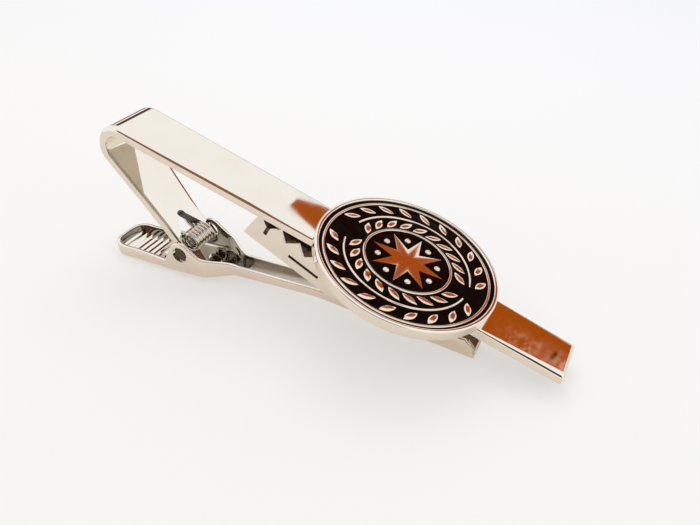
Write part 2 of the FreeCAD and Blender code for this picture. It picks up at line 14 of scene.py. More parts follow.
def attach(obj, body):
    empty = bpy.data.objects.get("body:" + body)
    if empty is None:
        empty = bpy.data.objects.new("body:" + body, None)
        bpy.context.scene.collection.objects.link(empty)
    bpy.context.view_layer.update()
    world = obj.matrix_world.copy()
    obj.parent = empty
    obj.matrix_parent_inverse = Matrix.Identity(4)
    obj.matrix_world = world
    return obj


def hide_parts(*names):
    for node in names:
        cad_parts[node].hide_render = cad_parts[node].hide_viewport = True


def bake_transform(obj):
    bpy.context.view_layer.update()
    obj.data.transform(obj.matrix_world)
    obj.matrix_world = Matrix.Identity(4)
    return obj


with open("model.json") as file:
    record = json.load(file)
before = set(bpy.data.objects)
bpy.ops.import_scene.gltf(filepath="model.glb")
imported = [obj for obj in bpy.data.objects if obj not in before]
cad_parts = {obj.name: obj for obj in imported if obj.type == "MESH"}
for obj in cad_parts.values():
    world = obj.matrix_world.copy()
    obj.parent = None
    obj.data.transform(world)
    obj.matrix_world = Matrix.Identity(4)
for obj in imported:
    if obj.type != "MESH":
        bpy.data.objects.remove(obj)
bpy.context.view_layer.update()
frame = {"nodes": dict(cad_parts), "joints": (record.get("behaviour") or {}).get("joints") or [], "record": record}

MM = 0.001
QUARTER_TURN = math.pi / 2
FULL_TURN = 2 * math.pi
MERGE_DISTANCE = 1e-7
LEAST_EDGE = 1e-8
Pair = tuple[float, float]
Colour = tuple[float, float, float]
log = logging.getLogger("tie_clip")


class Body(Enum):
    """The two bodies that the hinge joins."""

    BAR = "bar"
    LEVER = "lever"


class Slot(Enum):
    """Material slots of the record, passed along with the new pieces but not applied to them."""

    NICKEL = "nickel"
    SPRING = "spring_steel"
    MEDAL = "medal"
    ENAMEL = "enamel"


class Run(Enum):
    """Stretches of the front bar's strip."""

    BAR = "bar"
    BEND = "bend"
    LEG = "leg"


@dataclass(frozen=True)
class Placement:
    """Working frame in millimetres, turned about Y and set into the row frame.

    Attributes:
        slope: Turn about +Y, in radians.
        origin: Its origin in the row frame, in millimetres.
    """

    slope: float
    origin: Vector

    def direction(self, x: float, y: float, z: float) -> Vector:
        """Direction of the frame, as a row direction of the same length."""
        cosine, sine = math.cos(self.slope), math.sin(self.slope)
        return Vector((x * cosine + z * sine, y, z * cosine - x * sine))

    def point(self, x: float, y: float, z: float) -> Vector:
        """Point of the frame, in metres in the row frame."""
        return (self.direction(x, y, z) + self.origin) * MM

    def local(self, place: Vector) -> Vector:
        """Coordinates of a place in the frame.

        Args:
            place: Place in the row frame, in metres.

        Returns:
            The place in the frame, in millimetres.
        """
        away = place / MM - self.origin
        cosine, sine = math.cos(self.slope), math.sin(self.slope)
        return Vector((away.x * cosine - away.z * sine, away.y, away.z * cosine + away.x * sine))


def mount_axis(name: str) -> Vector:
    """Axis of one of the record's mounts."""
    return next(Vector(mount["axis"]) for mount in frame["record"]["mounts"] if mount["name"] == name)


HINGE = Vector(frame["joints"][0]["pos_m"]) / MM
HINGE_IN_BAR = Vector((12.7187, 0.0, -12.1338))
GRIP_AXIS = mount_axis("fabric_grip")
PAD_AXIS = mount_axis("pad_underside")
BAR_SLOPE = math.atan2(-GRIP_AXIS.z, GRIP_AXIS.x)
TURNED_HINGE = Placement(BAR_SLOPE, Vector()).direction(*HINGE_IN_BAR)
BAR_FRAME = Placement(BAR_SLOPE, HINGE - TURNED_HINGE)
LEVER_FRAME = Placement(-math.atan2(PAD_AXIS.x, -PAD_AXIS.z), HINGE)


def smooth_step(low: float, high: float, value: float) -> float:
    """Smooth ramp from 0 at low to 1 at high."""
    share = min(1.0, max(0.0, (value - low) / (high - low)))
    return share * share * (3.0 - 2.0 * share)


def mix(start: float, end: float, share: float) -> float:
    """Value at a share of the way from start to end."""
    return start + (end - start) * share


def spread(low: float, high: float, step: float) -> list[float]:
    """Even values from low to high, both included, at most a step apart."""
    count = max(1, math.ceil((high - low) / step))
    return [mix(low, high, index / count) for index in range(count + 1)]


def polar(radius: float, angle: float) -> Pair:
    """Point at a radius and an angle in radians."""
    return radius * math.cos(angle), radius * math.sin(angle)


def rounded(corners: Sequence[Pair], radii: Sequence[float], steps: int) -> list[Pair]:
    """Closed outline with its corners rounded.

    Args:
        corners: Corners in order.
        radii: How far the rounding of each corner reaches along its two sides.
        steps: Points on each rounding, less one.

    Returns:
        Points of the rounded outline.
    """
    outline = []
    for index, corner in enumerate(corners):
        here = Vector(corner)
        before = here + (Vector(corners[index - 1]) - here).normalized() * radii[index]
        after = here + (Vector(corners[(index + 1) % len(corners)]) - here).normalized() * radii[index]
        for step in range(steps + 1):
            share = step / steps
            place = before.lerp(here, share).lerp(here.lerp(after, share), share)
            outline.append((place.x, place.y))
    return outline


class Draft:
    """Points and faces of a mesh while it is being made."""

    def __init__(self) -> None:
        """Start empty."""
        self.points: list[Vector] = []
        self.faces: list[tuple[int, ...]] = []

    def grid(self, rows: Sequence[Sequence[Vector]], closed: bool = False,
             looped: bool = False) -> list[list[int]]:
        """Add rows of points with faces between them.

        Args:
            rows: Rows of equal length.
            closed: Whether each row is a ring.
            looped: Whether the last row joins the first.

        Returns:
            Indices of the points, row by row.
        """
        places = []
        for row in rows:
            places.append(list(range(len(self.points), len(self.points) + len(row))))
            self.points.extend(row)
        width = len(rows[0])
        following = places[1:] + ([places[0]] if looped else [])
        for here, there in zip(places, following):
            for index in range(width if closed else width - 1):
                onward = (index + 1) % width
                self.faces.append((here[index], here[onward], there[onward], there[index]))
        return places

    def tube(self, rows: Sequence[Sequence[Vector]], closed: bool = True) -> None:
        """Add rows of points with faces between them and a face on both end rows."""
        places = self.grid(rows, closed=closed)
        self.faces += [tuple(places[0]), tuple(places[-1])]

    def build(self, name: str, sharp: float = 40.0) -> Object:
        """Make the object.

        Args:
            name: Name of the object and its mesh.
            sharp: Angle in degrees from which an edge is drawn sharp.

        Returns:
            The object, linked to the scene.
        """
        mesh = bpy.data.meshes.new(name)
        mesh.from_pydata(self.points, [], self.faces)
        piece = bpy.data.objects.new(name, mesh)
        bpy.context.scene.collection.objects.link(piece)
        tidy_mesh(mesh, sharp)
        return piece


def flat_piece(name: str, points: Sequence[Vector]) -> Object:
    """Make an object of one flat face.

    Args:
        name: Name of the object.
        points: Outline of the face.

    Returns:
        The object, linked to the scene.
    """
    draft = Draft()
    draft.points = list(points)
    draft.faces = [tuple(range(len(draft.points)))]
    return draft.build(name)


def tidy_mesh(mesh: Mesh, sharp: float) -> None:
    """Merge doubled points, turn faces outward and shade smooth up to an angle.

    Args:
        mesh: Mesh to tidy.
        sharp: Angle in degrees from which an edge is drawn sharp.
    """
    work = bmesh.new()
    work.from_mesh(mesh)
    bmesh.ops.remove_doubles(work, verts=work.verts, dist=MERGE_DISTANCE)
    bmesh.ops.dissolve_degenerate(work, edges=work.edges, dist=LEAST_EDGE)
    bmesh.ops.recalc_face_normals(work, faces=work.faces)
    work.to_mesh(mesh)
    work.free()
    mesh.polygons.foreach_set("use_smooth", [True] * len(mesh.polygons))
    mesh.set_sharp_from_angle(angle=math.radians(sharp))
    mesh.update()


def carve(piece: Object, cutter: Object, sharp: float) -> None:
    """Cut one object out of another, and remove the cutter.

    Args:
        piece: Object that is cut.
        cutter: Closed object that is taken away.
        sharp: Angle in degrees from which an edge is drawn sharp.
    """
    cut = piece.modifiers.new("cut", "BOOLEAN")
    cut.operation = "DIFFERENCE"
    cut.solver = "EXACT"
    cut.object = cutter
    bpy.context.view_layer.update()
    graph = bpy.context.evaluated_depsgraph_get()
    mesh = bpy.data.meshes.new_from_object(piece.evaluated_get(graph))
    piece.modifiers.clear()
    piece.data = mesh
    bpy.data.objects.remove(cutter)
    tidy_mesh(mesh, sharp)


def even_shading(piece: Object) -> None:
    """Keep large faces flat in shading beside small roundings.

    Args:
        piece: Object to shade.
    """
    weighted = piece.modifiers.new("even_shading", "WEIGHTED_NORMAL")
    weighted.keep_sharp = True
    weighted.weight = 80


def stand_for(piece: Object, node: str, body: Body, slot: Slot) -> None:
    """Let a piece ride on a body in place of a CAD node.

    Args:
        piece: The new piece.
        node: CAD node that it stands for.
        body: Body that it rides on.
        slot: Record's slot for its finish; not used.
    """
    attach(piece, body.value)
    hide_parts(node)
    log.info("%s stands for %s with %d faces", piece.name, node, len(piece.data.polygons))


def dress(piece: Object, materials: Sequence[Material],
          finish_at: Callable[[MeshPolygon], int] | None = None) -> None:
    """Give an object its materials.

    Args:
        piece: Object to dress.
        materials: Its materials, the main one first.
        finish_at: Which material a face has. Without it, every face has the first.
    """
    piece.data.materials.clear()
    for material in materials:
        piece.data.materials.append(material)
    if finish_at:
        for face in piece.data.polygons:
            face.material_index = finish_at(face)


def opaque(colour: Colour) -> tuple[float, float, float, float]:
    """Colour with full cover."""
    return (*colour, 1.0)


class Sheet:
    """Short way to add and join nodes in one tree."""

    def __init__(self, tree: NodeTree) -> None:
        """Keep the tree."""
        self.tree = tree

    def feed(self, node: Node, values: Mapping[str | int, object]) -> None:
        """Feed a node's inputs.

        Args:
            node: The node.
            values: For each input, an output to link to it or its constant value.
        """
        for label, value in values.items():
            if isinstance(value, NodeSocket):
                self.tree.links.new(value, node.inputs[label])
            else:
                node.inputs[label].default_value = value

    def add(self, kind: str, values: Mapping[str | int, object] | None = None,
            **settings: object) -> Node:
        """Add a node.

        Args:
            kind: Blender's node type.
            values: What its inputs are fed.
            settings: Attributes to set on it.

        Returns:
            The node.
        """
        node = self.tree.nodes.new(kind)
        for name, value in settings.items():
            setattr(node, name, value)
        self.feed(node, values or {})
        return node

    def spot(self) -> NodeSocket:
        """Place on the object."""
        return self.add("ShaderNodeTexCoord").outputs["Object"]

    def math(self, operation: str, first: object, second: object) -> NodeSocket:
        """Result of a sum on two numbers or outputs."""
        return self.add("ShaderNodeMath", {0: first, 1: second}, operation=operation).outputs[0]

    def ramp(self, value: object, low: object, high: object) -> NodeSocket:
        """Value mapped from low..high to 0..1, held at the ends."""
        values = {"Value": value, "From Min": low, "From Max": high}
        return self.add("ShaderNodeMapRange", values).outputs["Result"]

    def mapped(self, share: object, low: float, high: float) -> NodeSocket:
        """Value from low to high by a share."""
        values = {"Value": share, "To Min": low, "To Max": high}
        return self.add("ShaderNodeMapRange", values).outputs["Result"]

    def between(self, share: object, first: object, second: object) -> NodeSocket:
        """Colour between two by a share."""
        values = {"Factor": share, "A": first, "B": second}
        return self.add("ShaderNodeMix", values, data_type="RGBA").outputs["Result"]

    def noise(self, spot: object, scale: object, detail: float, distortion: float = 0.0) -> NodeSocket:
        """Cloudy noise from 0 to 1."""
        values = {"Vector": spot, "Scale": scale, "Detail": detail, "Distortion": distortion}
        return self.add("ShaderNodeTexNoise", values, noise_dimensions="3D").outputs["Fac"]

    def bump(self, height: object, strength: float, distance: float,
             normal: NodeSocket | None = None) -> NodeSocket:
        """Normal of a bumped face.

        Args:
            height: Height of the bumps, from 0 to 1.
            strength: Their strength.
            distance: Their full height, in metres.
            normal: Normal that they add to.

        Returns:
            The normal.
        """
        node = self.add("ShaderNodeBump", {"Height": height, "Strength": strength, "Distance": distance})
        if normal is not None:
            self.feed(node, {"Normal": normal})
        return node.outputs["Normal"]

    def group(self, tree: NodeTree, **values: float) -> Node:
        """Node group with its own values."""
        return self.add("ShaderNodeGroup", values, node_tree=tree)


def new_group(name: str, inputs: Mapping[str, float],
              outputs: Sequence[str]) -> tuple[Sheet, Node, Node]:
    """Start a shader node group of plain values.

    Args:
        name: Name of the group.
        inputs: Names and defaults of its inputs.
        outputs: Names of its outputs.

    Returns:
        Its sheet, its input node and its output node.
    """
    tree = bpy.data.node_groups.new(name, "ShaderNodeTree")
    for label, value in inputs.items():
        socket = tree.interface.new_socket(label, in_out="INPUT", socket_type="NodeSocketFloat")
        socket.default_value = value
    for label in outputs:
        tree.interface.new_socket(label, in_out="OUTPUT", socket_type="NodeSocketFloat")
    sheet = Sheet(tree)
    return sheet, sheet.add("NodeGroupInput"), sheet.add("NodeGroupOutput")


class Effects:
    """Shader node groups that several finishes share, each built once."""

    def __init__(self) -> None:
        """Build the groups."""
        self.marks = self._polish_marks()
        self.film = self._handling_film()
        self.rub = self._edge_rub()

    def _polish_marks(self) -> NodeTree:
        """Fine lines that polishing leaves, drawn out along X, and a slow waviness.

        Returns:
            The group.
        """
        fine_share, broad_share = 14.0, 0.25
        sheet, given, out = new_group("polish_marks", {"Scale": 900.0, "Stretch": 0.08}, ("Height", "Waves"))
        spot = sheet.spot()
        drawn = sheet.add("ShaderNodeCombineXYZ", {"X": given.outputs["Stretch"], "Y": 1.0, "Z": 1.0})
        stretched = sheet.add("ShaderNodeVectorMath", {0: spot, 1: drawn.outputs[0]}, operation="MULTIPLY")
        fine_scale = sheet.math("MULTIPLY", given.outputs["Scale"], fine_share)
        broad_scale = sheet.math("MULTIPLY", given.outputs["Scale"], broad_share)
        sheet.feed(out, {"Height": sheet.noise(stretched.outputs[0], fine_scale, detail=4.0),
                         "Waves": sheet.noise(spot, broad_scale, detail=1.0)})
        return sheet.tree

    def _handling_film(self) -> NodeTree:
        """Soft cloudy film that handling leaves on metal.

        Returns:
            The group.
        """
        sheet, given, out = new_group("handling_film", {"Scale": 260.0}, ("Mask",))
        clouds = sheet.noise(sheet.spot(), given.outputs["Scale"], detail=6.0, distortion=0.6)
        sheet.feed(out, {"Mask": sheet.ramp(clouds, low=0.45, high=0.72)})
        return sheet.tree

    def _edge_rub(self) -> NodeTree:
        """Mask of rubbed outer edges.

        Returns:
            The group.
        """
        sheet, given, out = new_group("edge_rub", {"Start": 0.52, "End": 0.62}, ("Mask",))
        bend = sheet.add("ShaderNodeNewGeometry").outputs["Pointiness"]
        sheet.feed(out, {"Mask": sheet.ramp(bend, given.outputs["Start"], given.outputs["End"])})
        return sheet.tree


def blank_material(name: str) -> tuple[Material, Sheet, Node]:
    """New node material with one Principled shader.

    Args:
        name: Name of the material.

    Returns:
        The material, its sheet and its shader.
    """
    material = bpy.data.materials.new(name)
    material.use_nodes = True
    shader = next(node for node in material.node_tree.nodes if node.type == "BSDF_PRINCIPLED")
    return material, Sheet(material.node_tree), shader


@dataclass(frozen=True)
class Finish:
    """A finish with clouds of a second colour.

    Attributes:
        name: Name of its material.
        colour: Main colour.
        cloud_colour: Colour of its clouds.
        roughness: Roughness outside the clouds.
    """

    name: str
    colour: Colour
    cloud_colour: Colour
    roughness: float

    def material(self, effects: Effects) -> Material:
        """Build the material.

        Args:
            effects: Shared node groups.

        Returns:
            The material.
        """
        material, sheet, shader = blank_material(self.name)
        self.fill(sheet, shader, effects)
        return material

    def shade(self, sheet: Sheet, clouds: NodeSocket) -> NodeSocket:
        """Colour of the finish under a mask of its clouds."""
        return sheet.between(clouds, opaque(self.colour), opaque(self.cloud_colour))

    def fill(self, sheet: Sheet, shader: Node, effects: Effects) -> None:
        """Feed the shader, in each kind of finish its own way."""
        raise NotImplementedError


@dataclass(frozen=True)
class MetalFinish(Finish):
    """Polished or drawn metal under a film of handling.

    Attributes:
        film_roughness: Roughness under the film.
        mark_depth: Strength of the polishing marks.
        wave_depth: Strength of the slow waviness.
        mark_scale: Marks to the metre.
        mark_height: Height of the marks, in metres.
        wave_height: Height of the waviness, in metres.
    """

    film_roughness: float
    mark_depth: float
    wave_depth: float
    mark_scale: float = 900.0
    mark_height: float = 0.000004
    wave_height: float = 0.00004

    def fill(self, sheet: Sheet, shader: Node, effects: Effects) -> None:
        """Feed the shader.

        Args:
            sheet: Material's sheet.
            shader: Its shader.
            effects: Shared node groups.
        """
        marks = sheet.group(effects.marks, Scale=self.mark_scale).outputs
        film = sheet.group(effects.film).outputs["Mask"]
        filmed = sheet.math("SUBTRACT", film, sheet.group(effects.rub).outputs["Mask"])
        blur = sheet.add("ShaderNodeMix", {"Factor": filmed, "A": self.roughness, "B": self.film_roughness},
                         data_type="FLOAT")
        lines = sheet.bump(marks["Height"], self.mark_depth, self.mark_height)
        waves = sheet.bump(marks["Waves"], self.wave_depth, self.wave_height, lines)
        sheet.feed(shader, {"Metallic": 1.0, "Base Color": self.shade(sheet, filmed),
                            "Roughness": blur.outputs["Result"], "Normal": waves})


@dataclass(frozen=True)
class EnamelFinish(Finish):
    """Deep glossy enamel with faint specks.

    Attributes:
        gloss: Specular level.
        ripple: Strength of the poured face's ripple.
        speck_scale: Specks to the metre.
        ripple_scale: Scale of the ripple.
        ripple_height: Height of the ripple, in metres.
    """

    gloss: float
    ripple: float
    speck_scale: float = 900.0
    ripple_scale: float = 2400.0
    ripple_height: float = 0.00002

    def fill(self, sheet: Sheet, shader: Node, effects: Effects) -> None:
        """Feed the shader.

        Args:
            sheet: Material's sheet.
            shader: Its shader.
            effects: Shared node groups.
        """
        specks = sheet.group(effects.film, Scale=self.speck_scale).outputs["Mask"]
        waves = sheet.group(effects.marks, Scale=self.ripple_scale, Stretch=1.0).outputs["Waves"]
        sheet.feed(shader, {"Specular IOR Level": self.gloss, "Base Color": self.shade(sheet, specks),
                            "Roughness": sheet.mapped(specks, self.roughness, 2.0 * self.roughness),
                            "Normal": sheet.bump(waves, self.ripple, self.ripple_height)})


@dataclass(frozen=True)
class PlainFinish(Finish):
    """Dull finish of the hidden films.

    Attributes:
        metallic: Whether it is metal, as 0 or 1.
        cloud_scale: Clouds to the metre.
    """

    metallic: float
    cloud_scale: float = 700.0

    def fill(self, sheet: Sheet, shader: Node, effects: Effects) -> None:
        """Feed the shader.

        Args:
            sheet: Material's sheet.
            shader: Its shader.
            effects: Shared node groups.
        """
        clouds = sheet.group(effects.film, Scale=self.cloud_scale).outputs["Mask"]
        sheet.feed(shader, {"Metallic": self.metallic, "Roughness": self.roughness,
                            "Base Color": self.shade(sheet, clouds)})


NICKEL = MetalFinish("polished_nickel", (0.885, 0.85, 0.78), (0.86, 0.815, 0.745), 0.03,
                     film_roughness=0.06, mark_depth=0.02, wave_depth=0.06)
# Darker copies of the polished nickel: painted shade on insides, undersides, the slot, the slit and the lug holes.
# The inner copy is also rougher.
INNER_SHADE_NICKEL = MetalFinish("dull_painted_shade_nickel", (0.66, 0.62, 0.54), (0.52, 0.47, 0.39), 0.36,
                           film_roughness=0.44, mark_depth=0.15, wave_depth=0.08)
SHADED_NICKEL = MetalFinish("shaded_nickel", (0.34, 0.31, 0.26), (0.20, 0.17, 0.14), 0.08,
                            film_roughness=0.14, mark_depth=0.12, wave_depth=0.08)
DARK_SHADE_NICKEL = MetalFinish("painted_dark_shade_nickel", (0.10, 0.09, 0.075), (0.07, 0.06, 0.05), 0.16,
                          film_roughness=0.25, mark_depth=0.15, wave_depth=0.08)
# The struck nickel's warm copper tone is partly the metal's own and partly painted reflection of brown
# surroundings.
MEDAL_NICKEL = MetalFinish("struck_nickel", (0.88, 0.75, 0.63), (0.76, 0.55, 0.41), 0.08,
                           film_roughness=0.14, mark_depth=0.15, wave_depth=0.10, mark_scale=1400.0)
SPRING_STEEL = MetalFinish("drawn_spring_wire", (0.80, 0.76, 0.70), (0.56, 0.51, 0.45), 0.07,
                           film_roughness=0.14, mark_depth=0.20, wave_depth=0.05, mark_scale=1600.0)
BLACK_ENAMEL = EnamelFinish("black_enamel", (0.002, 0.002, 0.002), (0.005, 0.0045, 0.004), 0.05,
                            gloss=0.07, ripple=0.25)
SOFT_SOLDER = PlainFinish("soft_solder", (0.62, 0.61, 0.60), (0.45, 0.44, 0.43), 0.45, metallic=1.0)
CLEAR_GLUE = PlainFinish("clear_glue", (0.80, 0.77, 0.66), (0.70, 0.66, 0.54), 0.4, metallic=0.0)


@dataclass
class FrontBar:
    """Bevelled strip: front bar, bend and forked back leg, in millimetres."""

    length: float = 56.0
    width: float = 7.0
    end_width: float = 5.6
    thick: float = 1.2
    bevel_width: float = 0.62
    bevel_drop: float = 0.3
    end_bevel: float = 0.25
    end_inset: float = 0.1
    end_shrink: float = 0.97
    end_ease: float = 0.02
    bend_radius: float = 2.7
    bend_step: float = 3.0
    leg_angle: float = 34.5
    leg_length: float = 13.6
    fork_width: float = 5.8
    prong_width: float = 0.8
    prong_tail: float = 1.0
    tail_inset: float = 0.2
    tail_thick_share: float = 0.8
    slot_rise: float = 3.6
    slot_full_rise: float = 1.5
    slot_top_radius: float = 0.65
    cut_margin: float = 1.0
    ear_length: float = 1.5
    ear_thick: float = 1.1
    ear_end: float = 3.22
    ear_root_depth: float = 0.3
    ear_rounding: float = 0.14
    ear_end_inset: float = 0.08
    ear_end_share: float = 0.9
    facet_at: float = 0.40
    facet_share: float = 0.19
    crease_rounding: float = 0.05
    facet_rounding: float = 0.14
    edge_rounding: float = 0.30
    back_rounding: float = 0.08
    back_flat: float = 0.40
    back_lift: float = 0.07
    narrow_at: float = 47.0
    narrow_from: float = 30.0
    narrow_bevel: float = 0.40
    bar_rings: tuple[float, ...] = (40.0, 20.0, 6.0)
    leg_rings: tuple[float, ...] = (2.0, 5.0)
    flat_slack: float = 0.01
    slot_slack: float = 0.02
    wall_slope: float = 0.5
    sharp: float = 50.0

    @property
    def slot_top(self) -> float:
        """Reach down the leg of the slot's round top."""
        return self.leg_length - self.slot_rise

    def place(self, run: Run, along: float, y: float, z: float) -> Vector:
        """Row point of a place on the strip.

        Args:
            run: Stretch of the strip.
            along: X on the bar, angle in degrees round the bend, or reach down the leg.
            y: Distance across the strip.
            z: Height over the strip's outer face.

        Returns:
            The point in metres.
        """
        radius = self.bend_radius
        if run is Run.BAR:
            return BAR_FRAME.point(along, y, z)
        angle = math.radians(along if run is Run.BEND else 180.0 - self.leg_angle)
        reach = along if run is Run.LEG else 0.0
        cosine, sine = math.cos(angle), math.sin(angle)
        lift = z + radius
        x = radius - reach * cosine - lift * sine
        return BAR_FRAME.point(x, y, lift * cosine - reach * sine - radius)

    def ring(self, run: Run, along: float, section: Sequence[Pair]) -> list[Vector]:
        """Points of a section that is set at a place on the strip."""
        return [self.place(run, along, y, z) for y, z in section]

    def section(self, half: float, scale: float = 1.0) -> list[Pair]:
        """Rounded section of the strip, as (y, z) points.

        Args:
            half: Half the strip's width.
            scale: Share of the full bevel.

        Returns:
            The closed outline.
        """
        bevel, drop = self.bevel_width * scale, self.bevel_drop * scale
        top = half - bevel
        facet = (top + bevel * self.facet_at, -drop * self.facet_share)
        side = [(top, 0.0), facet, (half, -drop), (half, self.back_lift - self.thick),
                (half - self.back_flat, -self.thick)]
        corners = side + [(-y, z) for y, z in reversed(side)]
        radii = (self.crease_rounding * scale, self.facet_rounding * scale, self.edge_rounding * scale,
                 self.back_rounding, self.back_rounding)
        return rounded(corners, radii + tuple(reversed(radii)), steps=5)

    def bevel_scale(self, x: float) -> float:
        """Share of the full bevel along the bar, least by the tray's far side.

        Args:
            x: Place along the bar.

        Returns:
            The share.
        """
        if x > self.narrow_at:
            return mix(self.narrow_bevel, 1.0, (x - self.narrow_at) / (self.length - self.narrow_at))
        return mix(1.0, self.narrow_bevel, smooth_step(self.narrow_from, self.narrow_at, x))

    def bar_section(self, x: float) -> list[Pair]:
        """Section of the tapered bar at a place along it."""
        share = (x - self.bend_radius) / (self.length - self.bend_radius)
        return self.section(mix(self.width, self.end_width, share) / 2, self.bevel_scale(x))

    def leg_section(self, reach: float) -> list[Pair]:
        """Section of the leg at a reach down it."""
        share = min(1.0, reach / self.slot_top)
        return self.section(mix(self.width, self.fork_width, share) / 2)

    def strip(self) -> Draft:
        """The strip without its slot.

        Returns:
            Its mesh.
        """
        end, drop = self.section(self.end_width / 2), self.bevel_drop
        brow = self.length - self.end_bevel
        face = [(y * self.end_shrink, min(z, -drop) * self.end_shrink - self.end_ease) for y, z in end]
        edge = [(y, min(z, -drop + self.end_inset)) for y, z in end]
        eased = [(y, min(z, -self.end_ease)) for y, z in self.bar_section(brow)]
        rings = [self.ring(Run.BAR, self.length, face),
                 self.ring(Run.BAR, self.length - self.end_inset, edge),
                 self.ring(Run.BAR, brow, eased)]
        stops = (brow - self.end_inset, self.narrow_at, self.narrow_from, *self.bar_rings, self.bend_radius)
        rings += [self.ring(Run.BAR, x, self.bar_section(x)) for x in sorted(stops, reverse=True)]
        for angle in spread(0.0, 180.0 - self.leg_angle, self.bend_step)[1:]:
            rings.append(self.ring(Run.BEND, angle, self.section(self.width / 2)))
        tail = self.leg_length + self.prong_tail
        for reach in (*self.leg_rings, self.slot_top, tail - self.tail_inset):
            rings.append(self.ring(Run.LEG, reach, self.leg_section(reach)))
        thinned = [(y, mix(-self.thick / 2, z, self.tail_thick_share)) for y, z in self.leg_section(tail)]
        rings.append(self.ring(Run.LEG, tail, thinned))
        draft = Draft()
        draft.tube(rings)
        return draft

    def slot_cutter(self) -> Object:
        """Closed prism of the teardrop slot.

        Returns:
            The prism's object.
        """
        wide = self.fork_width / 2 - self.prong_width
        full = self.leg_length - self.slot_full_rise
        end = self.leg_length + self.prong_tail + 2 * self.cut_margin
        outline = []
        for angle in spread(QUARTER_TURN, 3 * QUARTER_TURN, step=0.15):
            a, b = polar(self.slot_top_radius, angle)
            outline.append((self.slot_top + a, b))
        outline += [(full, -wide), (end, -wide), (end, wide), (full, wide)]
        draft = Draft()
        draft.tube([[self.place(Run.LEG, reach, y, z) for reach, y in outline]
                    for z in (self.cut_margin, -self.thick - self.cut_margin)])
        return draft.build("slot_cutter")

    def ears(self) -> Draft:
        """The fork's two flat ears.

        Returns:
            Their mesh.
        """
        root = self.fork_width / 2 - self.ear_root_depth
        half_length, half_thick = self.ear_length / 2, self.ear_thick / 2
        corners = [(-half_length, -half_thick), (half_length, -half_thick),
                   (half_length, half_thick), (-half_length, half_thick)]
        outline = rounded(corners, (self.ear_rounding,) * len(corners), steps=3)
        stops = ((root, 1.0), (self.ear_end - self.ear_end_inset, 1.0), (self.ear_end, self.ear_end_share))
        draft = Draft()
        for side in (-1.0, 1.0):
            rings = []
            for y, share in stops:
                section = [(self.leg_length + a * share, b * share - self.thick / 2) for a, b in outline]
                rings.append([self.place(Run.LEG, reach, side * y, z) for reach, z in section])
            draft.tube(rings)
        return draft

    def finish_at(self, face: MeshPolygon) -> int:
        """Finish of a face.

        Args:
            face: Face of the strip.

        Returns:
            0 outside, 1 on the bar's underside, with painted shade, 2 on the slot's wall, with painted dark shade.
        """
        place = BAR_FRAME.local(face.center)
        if place.x > self.bend_radius and abs(place.z + self.thick) < self.back_lift + self.flat_slack:
            return 1
        foot = self.place(Run.LEG, self.slot_top, 0.0, 0.0)
        down = (self.place(Run.LEG, self.leg_length, 0.0, 0.0) - foot).normalized()
        out = (self.place(Run.LEG, self.slot_top, 0.0, 1.0) - foot).normalized()
        reach = (face.center - foot).dot(down) / MM
        inside = abs(place.y) < self.fork_width / 2 - self.prong_width + self.slot_slack
        in_slot = inside and reach > -self.slot_top_radius - self.slot_slack
        return 2 if in_slot and abs(face.normal.dot(out)) < self.wall_slope else 0

    def build(self, finishes: Sequence[Material]) -> None:
        """Make the bar and its ears and let them ride.

        Args:
            finishes: Finishes of the strip, of the bar's underside with painted shade, and of the slot's wall and
                the ears with painted dark shade.
        """
        strip = self.strip().build("front_bar_strip", self.sharp)
        carve(strip, self.slot_cutter(), self.sharp)
        dress(strip, finishes, self.finish_at)
        ears = self.ears().build("fork_ears", self.sharp)
        # The ears take the slot's finish, painted dark shade, as they sit in the lug holes.
        dress(ears, finishes[-1:])
        for piece in (strip, ears):
            even_shading(piece)
            stand_for(piece, "front_bar", Body.BAR, Slot.NICKEL)


